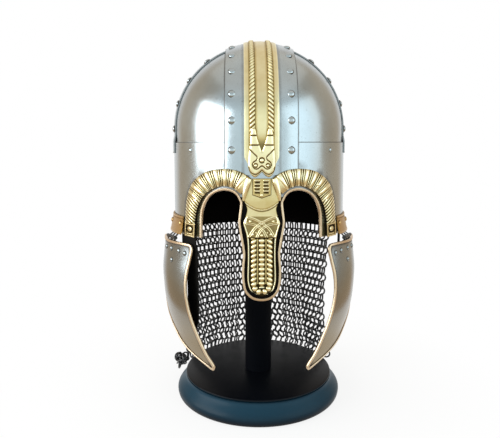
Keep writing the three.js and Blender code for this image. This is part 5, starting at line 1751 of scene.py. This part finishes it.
@dataclass
class Mail:
    """The curtain: rows of round links that lean by turns left and right, each through four others."""

    finishes: Finishes
    start: float = 117.0
    hem: float = 16.0
    flare: float = 6.2
    fold: float = 1.6
    folds: int = 7
    pitch: float = 7.7
    drop: float = 8.9
    radius: float = 5.6
    wire: float = 1.1
    lean: float = 44.0
    slack: int = 14
    corners: tuple[int, int] = (14, 6)
    spread: tuple[float, ...] = (0, -0.25, -0.6, -0.9, -0.85, 0.1, 1)

    def point(self, share: Array, down: Array) -> Array:
        """Points of the curtain in the stand's frame, plumb under the tilted rim.

        Args:
            share: How far along the curtain, from 0 to 1.
            down: How far down it, from 0 to 1.

        Returns:
            The points: an oval that bulges by the spread and waves in soft folds.
        """
        bearing = np.radians(self.start + share * (360 - self.start * 2))
        fold = self.fold * down * np.sin(share * 2 * self.folds * math.pi)
        reach = 4.4 + self.flare * share_at(self.spread, down) + fold
        across = (SKULL.half_width + reach) * np.sin(bearing)
        along = (SKULL.half_length + reach) * np.cos(bearing)
        top = RIM_HEIGHT + along * math.sin(TILT) + 3.05
        return stack(across, -along - SKULL_BACK, top + (self.hem - top) * down)

    def links(self, share: Array, down: Array, is_odd: Array, seeds: np.random.Generator) -> Array:
        """The hanging links, each a ring swept round a circle that leans out of the curtain.

        Args:
            share: How far along the curtain each link is.
            down: How far down it.
            is_odd: Whether its row leans to the right.
            seeds: The source of small differences.

        Returns:
            Points by link, place round it and place round its wire.
        """
        centre = self.point(share, down)
        ahead = unit(self.point(share + 1e-3, down) - centre)
        hang = unit(self.point(share, down + 1e-3) - centre)
        outward = unit(np.cross(ahead, hang))
        lean = np.radians(np.where(is_odd, self.lean, -self.lean) + seeds.normal(0, 1.2, share.size))[:, None]
        tip = np.radians(seeds.normal(0, 2, share.size))[:, None]
        wide = ahead * np.cos(lean) + outward * np.sin(lean)
        tall = unit(hang + wide * np.tan(tip))
        through = np.cross(wide, tall)[:, None, None]
        turn, ring = circle(self.corners[0])[None, :, None], circle(self.corners[1])[:, None]
        spoke = (wide[:, None] * np.cos(turn) + tall[:, None] * np.sin(turn))[:, :, None]
        tube = spoke * (self.radius + self.wire * np.cos(ring)) + through * np.sin(ring) * self.wire
        return centre[:, None, None] + tube

    def heap(self, links: Array, seeds: np.random.Generator) -> Array:
        """The slack links: half turns of the first ones about chance axes, in a bunch at the front corner.

        Args:
            links: Points by link.
            seeds: The source of the axes and places.

        Returns:
            Points by slack link.
        """
        shape = links[:self.slack] - links[:self.slack].mean(1, keepdims=True)
        axis = unit(seeds.normal(0, 1, (self.slack, 3)))[:, None]
        shape = 2 * (shape * axis).sum(-1, keepdims=True) * axis - shape
        bunch = self.point(np.array(1.0), np.array(1.0)) + seeds.uniform([-10, -7, -3], [1, 3, 9], (self.slack, 3))
        return shape + bunch[:, None]

    def build(self) -> None:
        """Lays out the links: row by row at the drop, shifted by half a pitch on every other row."""
        length = run_length(self.point(np.linspace(0, 1, 300), np.zeros(300)))[-1]
        columns, rows = int(length / self.pitch), int((RIM_HEIGHT - self.hem - 2) / self.drop)
        row, column = (index.ravel() for index in np.meshgrid(np.arange(rows), np.arange(columns), indexing="ij"))
        share = (column + 0.5 + 0.5 * (row % 2)) / (columns + 0.5)
        seeds = np.random.default_rng(7)
        count = math.prod(self.corners)
        links = self.links(share, (row + 0.62) / (rows + 0.35), row % 2 == 1, seeds).reshape(-1, count, 3)
        links = np.concatenate([links, self.heap(links, seeds)])
        faces = net(*self.corners, True) + np.arange(len(links))[:, None, None] * count
        shell = Shell().add(links.reshape(-1, 3), faces.reshape(-1, 4))
        shell.make("mail_curtain_links", self.finishes.iron, "mail_curtain", crease=80.0, place=upright)
        log.info("mail: %d rows of %d links", rows, columns)


# Cheek pieces


@dataclass
class CheekPiece:
    """One cheek piece: a plate bowed round the jaw, in a brass channel, on its hinge."""

    finishes: Finishes
    side: Side
    half_width: float = 112.0
    half_length: float = 109.0
    top: float = 1.1
    drop: float = 137.4
    front: float = 80.0
    length: float = 94.0
    rivets: Pairs = ((-28.2, -9.2), (-43.8, -9.2), (-47.5, -21.5), (-58.0, -10.0), (-66.5, -11.5))
    widths: tuple[float, ...] = (0.972, 0.987, 1, 0.993, 0.978, 0.946, 0.902, 0.866, 0.786)
    lengths: tuple[float, ...] = (0.903, 0.926, 0.965, 0.998, 0.998, 0.982, 0.955, 0.913, 0.892)
    outline_shares: Pairs = (
        (0.13, 0), (0.5, 0), (0.95, 0), (1, 0.05), (1, 0.252), (0.94, 0.415), (0.84, 0.54), (0.62, 0.684),
        (0.39, 0.808), (0.18, 0.909), (0.07, 0.971), (0.01, 1), (-0.005, 0.976), (0.008, 0.866), (0.022, 0.712),
        (0.045, 0.482), (0.066, 0.252), (0.07, 0.13), (0.072, 0.04), (0.09, 0.006),
    )

    @property
    def body(self) -> Body:
        """The body that the piece swings with."""
        return Body.CHEEK_LEFT if self.side is Side.LEFT else Body.CHEEK_RIGHT

    @property
    def flip(self) -> Array:
        """What turns the left half's points and directions into this side's."""
        return np.array([-self.side.value, 1, 1])

    def surface(self, along: Array, height: Array) -> Array:
        """The outer surface of the left half: an oval at each height whose half-axes follow the two tables.

        Args:
            along: Places towards the nape.
            height: Heights over the rim's plane.

        Returns:
            The points.
        """
        down = -height / (self.drop + self.top)
        wide = self.half_width * share_at(self.widths, down)
        share = along / (self.half_length * share_at(self.lengths, down))
        return stack(-wide * np.sqrt(np.maximum(0, 1 - share**2)), along, height)

    def normal(self, along: Array, height: Array) -> Array:
        """The way out of the left half: the cross product of the surface's slopes up and along.

        Args:
            along: Places towards the nape.
            height: Heights over the rim's plane.

        Returns:
            The directions.
        """
        ahead = self.surface(along + 1, height) - self.surface(along - 1, height)
        above = self.surface(along, height + 1) - self.surface(along, height - 1)
        return unit(np.cross(above, ahead))

    def pushed(self, spots: Array, out: float) -> Array:
        """Points off the surface at (along, height) rows, on this side of the helmet."""
        along, height = np.moveaxis(np.asarray(spots, float), -1, 0)
        return (self.surface(along, height) + self.normal(along, height) * out) * self.flip

    def outline(self, count: int) -> Array:
        """The edge as (along, height) points at even lengths."""
        points = np.array(self.outline_shares) * [self.length, -self.drop] - [self.front, self.top]
        return evenly(centripetal(points, True), count, True)

    def build(self) -> None:
        """Makes the plate, whose rings are the edge drawn in towards its middle, and its binding."""
        edge = self.outline(220)
        centre = np.array([0.45 * self.length - self.front, -self.top - 0.4 * self.drop])
        share = np.concatenate([np.linspace(0.02, 0.9, 24), [0.925, 0.945, 0.96, 0.98, 1.0]])[:, None, None]
        spots = centre + (edge - centre) * share
        # Patina with painted shade in a ring just inside the binding
        relief = 0.7 - 0.62 * smoothstep(share[..., 0], 0.9, 0.96) + 0 * edge[:, 0]
        shell = self.disc(self.pushed(spots, GAUGE), self.pushed(spots, 0.0), relief)
        for spot in self.rivets:
            shell.rivet_on(lambda out: self.pushed(spot, GAUGE + out), 2.7, 1.6)
        word = self.side.word
        shell.make(f"cheek_{word}_steel", self.finishes.toned, f"cheek_plate_{word}", body=self.body)
        normals = self.normal(edge[:, 0], edge[:, 1]) * self.flip
        rings = Channel().along(self.pushed(edge, GAUGE / 2), normals, True, self.pushed(centre, GAUGE / 2))
        node = f"cheek_binding_{word}"
        Shell().sweep(rings, True).make(f"{node}_brass", self.finishes.binding, node, body=self.body)

    def disc(self, outer: Array, inner: Array, relief: Array) -> Shell:
        """A skin whose innermost ring is closed by one face on each side.

        Args:
            outer: Points by ring, from the middle out, and place round it.
            inner: The matching points of the other face.
            relief: The outer face's relief; the inner face gets relief 0 and is painted black as shade.

        Returns:
            The shell.
        """
        rows, columns = outer.shape[:2]
        deep, top, ring = rows * columns, net(rows, columns), np.arange(columns)
        last, ahead = ring + deep - columns, np.roll(ring, -1) + deep - columns
        wall = np.stack([last, ahead, ahead + deep, last + deep], -1)
        quads = np.vstack([top, top[:, ::-1] + deep, wall])
        # The inner face gets relief 0, which paints it black as shade
        both = np.concatenate([relief.ravel(), np.zeros(relief.size)])
        points = np.vstack([outer.reshape(-1, 3), inner.reshape(-1, 3)])
        return Shell().add(points, quads, [ring[::-1], ring + deep], both)


# Leather


@dataclass
class Leather:
    """The lining, the hanging chin strap, and the short tab with its iron loop."""

    finishes: Finishes
    strap_gauge: float = 2.2
    lap_height: float = 42.0
    eye_radius: float = 3.1
    loop_wire: float = 1.3
    loop_half: Pairs = ((12, 5), (12, 15), (11.2, 19.2), (7, 20))
    tongues: int = 8

    def build(self) -> None:
        """Makes the three leather pieces and the loop."""
        self.lining()
        self.strap("chin_strap_left", -52.6, 86.0, 16.0, 23.0)
        self.loop(*self.strap("chin_strap_right", 84.0, 14.0, 0.0, 18.0))

    def lining(self) -> None:
        """A band with eight tongues that rise over the crown's ovals to a ring, slit between the tongues."""
        rows = np.concatenate([np.linspace(64, 90, 8), np.linspace(92, 124, 10)])
        turns = np.radians(np.linspace(0, 82, 42)[1:])
        height = np.concatenate([rows, np.full(len(turns), SKULL.spring)])[:, None]
        turn = np.concatenate([np.zeros(len(rows)), turns])[:, None]
        each = 24
        bearing = circle(self.tongues * each) - math.radians(15)
        faces = []
        for out in (-0.9, -2.9):
            across = (SKULL.half_width + out) * np.cos(turn) * np.sin(bearing)
            along = -(SKULL.half_length + out) * np.cos(turn) * np.cos(bearing)
            faces.append(stack(across, along, height + (78 + out) * np.sin(turn)))
        middle = (turn[:-1] + turn[1:]) / 2
        column = np.arange(self.tongues * each) % each
        gap = 2 + 5 * smoothstep(middle, 0.1, 0.9)
        slit = (np.abs(column - 19.5) < gap / 2) & (middle > 0.2) & (middle < 0.96)
        shell = Shell().grid(*faces, wrap=True, keep=~slit)
        shell.make("lining_leather", self.finishes.leather, "lining_band", "lining_crown")

    def strap(
        self, node: str, bearing: float, drop: float, point: float, width: float
    ) -> tuple[Array, Array, Array]:
        """A strap riveted inside the rim that hangs plumb below it.

        Its section is a rounded rectangle, bowed by across squared / skull width to follow the wall. A
        pointed strap narrows past its drop and widens to one side at its top; a square one ends in an eye.

        Args:
            node: The CAD node.
            bearing: Where it hangs, in degrees from the front.
            drop: Its length below the rim.
            point: The length of its blunt point, or 0 for none.
            width: Its width.

        Returns:
            Its end, the direction of its width and the direction that it hangs in.
        """
        turn = math.radians(bearing)
        middle = BROW_OUT - 1.7 - self.strap_gauge / 2
        aim = unit(SKULL.around(turn + 0.02, 0.0, middle) - SKULL.around(turn - 0.02, 0.0, middle))
        normal = np.cross(aim, [0.0, 0.0, 1.0])
        hang = np.array([0.0, math.sin(TILT), -math.cos(TILT)])
        high = np.linspace(self.lap_height, 0, 15)
        lap = SKULL.around(turn, high, middle + smoothstep(high, 22, 32))
        below = np.linspace(0, drop + point, 40)[1:]
        spots = np.vstack([lap, lap[-1] + hang * below[:, None]])
        down = np.concatenate([np.zeros(len(high)), below])[:, None, None]
        past = np.clip(down - drop, 0, None) / max(point, 1e-6)
        yoke = (point > 0) * (1 - smoothstep(down, 3, 15))
        spin = circle(16)
        wide, thick = (
            np.sign(value) * np.abs(value) ** power for value, power in ((np.cos(spin), 0.25), (np.sin(spin), 0.5))
        )
        across = wide[:, None] * width / 2 * (1 - 0.7 * past**1.5) * (1 + 0.6 * yoke) - 0.4 * width * yoke
        out = thick[:, None] * self.strap_gauge / 2 - across**2 / (2 * SKULL.half_width)
        shell = Shell().sweep(spots[:, None] + aim * across + normal * out, False)
        if not point:
            eye = np.linspace(-1, 1, 17)[:, None, None] * width / 2
            level = np.cross(aim, hang)
            round_eye = np.cos(circle(20))[:, None] * level + np.sin(circle(20))[:, None] * np.cross(aim, level)
            shell.sweep(spots[-1] + eye * aim + self.eye_radius * round_eye, False)
        shell.make(f"{node}_leather", self.finishes.leather, node)
        return spots[-1], aim, hang

    def loop(self, end: Array, aim: Array, hang: Array) -> None:
        """The loop: round wire bent into a rounded rectangle whose upper side lies in the eye.

        Args:
            end: The middle of the eye.
            aim: The direction of the strap's width.
            hang: The direction that the strap hangs in.
        """
        down = unit(hang - aim * (hang @ aim))
        right = np.array([(7, 0), (11.2, 0.8), *self.loop_half], float)
        line = evenly(centripetal(np.vstack([[(-7, 0)], right, right[:0:-1] * [-1, 1]]), True), 96, True)
        points = end + line[:, :1] * aim + line[:, 1:] * down
        run = unit(np.roll(points, -1, 0) - np.roll(points, 1, 0))
        face = unit(np.cross(aim, down))
        turn = circle(12)[:, None]
        ring = np.cos(turn) * np.cross(run, face)[:, None] + np.sin(turn) * face
        shell = Shell().sweep(points[:, None] + self.loop_wire * ring, True)
        shell.make("chin_loop_iron", self.finishes.iron, "chin_loop", body=Body.LOOP)


@dataclass
class HingeMetal:
    """The hinges' leaves and pins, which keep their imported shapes."""

    finishes: Finishes
    parts: tuple[str, ...] = ("hinge_upper_leaf", "hinge_lower_leaf", "hinge_pin")

    def build(self) -> None:
        """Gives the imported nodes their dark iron."""
        for side in Side:
            for part in self.parts:
                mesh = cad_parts[f"{part}_{side.word}"].data
                mesh.materials.clear()
                mesh.materials.append(self.finishes.iron.material)


# Studio


@dataclass(frozen=True)
class Lamp:
    """An area light that faces the helmet: its place and size in metres, its power in watts and its tint."""

    name: str
    at: Triple
    size: tuple[float, float]
    power: float
    tint: Colour = (1.0, 1.0, 1.0)
    target: Triple = (0.0, 0.0, 0.22)

    def build(self) -> None:
        """Hangs the light."""
        data = bpy.data.lights.new(self.name, "AREA")
        data.shape = "RECTANGLE"
        data.size, data.size_y = self.size
        data.energy = self.power
        data.color = self.tint
        made = bpy.data.objects.new(self.name, data)
        made.location = self.at
        aim = Vector(self.target) - Vector(self.at)
        made.rotation_mode = "QUATERNION"
        made.rotation_quaternion = aim.to_track_quat("-Z", "Y")
        bpy.context.scene.collection.objects.link(made)


@dataclass
class Studio:
    """The pale floor, soft lights, the surroundings that metal reflects, and the camera; in metres."""

    width: int = 500
    focal_pixels: float = 687.4
    sensor: float = 36.0
    camera_at: Triple = (-0.022, -0.8, 0.4)
    pitch: float = 12.74
    yaw: float = 0.845
    board_half: float = 0.34
    board_front: float = -0.17
    board_back: float = 0.6
    board_gap: float = 0.0005
    lamps: tuple[Lamp, ...] = (
        Lamp("window_left", (-1.28, -0.42, 0.62), (1.3, 0.8), 17.0, (0.93, 0.97, 1.0)),
        Lamp("fill_right", (1.35, -0.62, 0.72), (1.6, 1.2), 7.0, (0.8, 0.94, 1.0)),
        Lamp("overhead", (0.0, 0.1, 1.6), (2.2, 2.2), 5.0),
    )

    def camera(self) -> None:
        """The camera at the photograph's angle."""
        data = bpy.data.cameras.new("camera")
        data.sensor_width = self.sensor
        data.lens = self.focal_pixels / self.width * self.sensor
        made = bpy.data.objects.new("camera", data)
        made.location = self.camera_at
        made.rotation_euler = (math.radians(90 - self.pitch), 0.0, math.radians(-self.yaw))
        bpy.context.scene.collection.objects.link(made)
        bpy.context.scene.camera = made

    def floor(self) -> None:
        """A flat board under the stand, which fades into the backdrop's white towards its edges."""
        mesh = bpy.data.meshes.new("floor")
        side, front, back = self.board_half, self.board_front, self.board_back
        points = [(-side, front, 0), (side, front, 0), (side, back, 0), (-side, back, 0)]
        mesh.from_pydata(points, [], [(0, 1, 2, 3)])
        mesh.materials.append(PaleFloor().build())
        made = bpy.data.objects.new("floor", mesh)
        made.location.z = -self.board_gap
        bpy.context.scene.collection.objects.link(made)
        made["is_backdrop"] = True

    def surroundings(self) -> None:
        """The white backdrop behind the helmet, and the room before it that only its metal shows.

        The room is cool in front, tan at the sides and brown below; camera rays, and glossy rays that
        run back past the helmet, see the backdrop.
        """
        world = bpy.data.worlds.new("studio")
        world.use_nodes = True
        bpy.context.scene.world = world
        world.node_tree.nodes.clear()
        n = Nodes(world.node_tree)
        parts = n.node("ShaderNodeSeparateXYZ", Vector=n.wire(n.node("ShaderNodeTexCoord"), "Generated"))
        depth, height = n.wire(parts, "Y"), n.wire(parts, "Z")
        level = n.ramp(
            depth * 0.5 + 0.5,
            (0.0, (1.2, 1.36, 1.38)),
            (0.34, (0.72, 0.86, 0.92)),
            (0.53, (0.6, 0.52, 0.42)),
            (0.75, (0.68, 0.56, 0.42)),
        )
        above = n.mixed((height * 2.0 - 0.9).clamped(), level, (0.56, 0.53, 0.47))
        below = n.mixed((height * -4.0 - 0.1).clamped(), above, (0.6, 0.45, 0.29))
        room = n.wire(n.node("ShaderNodeBackground", Color=below, Strength=1.0))
        white = n.wire(n.node("ShaderNodeBackground", Color=(1.0, 1.0, 1.0, 1.0), Strength=1.0))
        behind = ((depth - 0.72) * 6.0).clamped()
        share = (n.rays("Camera") + n.rays("Glossy", "Transmission") * behind).clamped()
        n.node("ShaderNodeOutputWorld", Surface=n.either(share, room, white))

    def build(self) -> None:
        """Sets up the studio."""
        self.camera()
        self.floor()
        self.surroundings()
        for lamp in self.lamps:
            lamp.build()
        bpy.context.scene.view_settings.view_transform = "Standard"


def corners(box: tuple[object, object]) -> list[list[float]]:
    """A box's two corners as plain numbers."""
    return [[float(v) for v in corner] for corner in box]


def main() -> None:
    """Builds the studio and every piece."""
    logging.basicConfig(level=logging.INFO, format="%(name)s: %(message)s")
    packed = corners(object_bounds())
    Studio().build()
    finishes = Finishes.mixed()
    skull = SteelSkull(finishes)
    builders = [
        Stand(finishes), skull, FaceBinding(finishes, skull), Crest(finishes), LadderPlate(finishes),
        NasalPlate(finishes), *(BrowCasting(finishes, side) for side in Side), Rim(finishes), Mail(finishes),
        *(CheekPiece(finishes, side) for side in Side), Leather(finishes), HingeMetal(finishes),
    ]
    for builder in builders:
        builder.build()
    {"cad": packed, "scene": corners(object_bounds())}


if __name__ == "__main__":
    main()
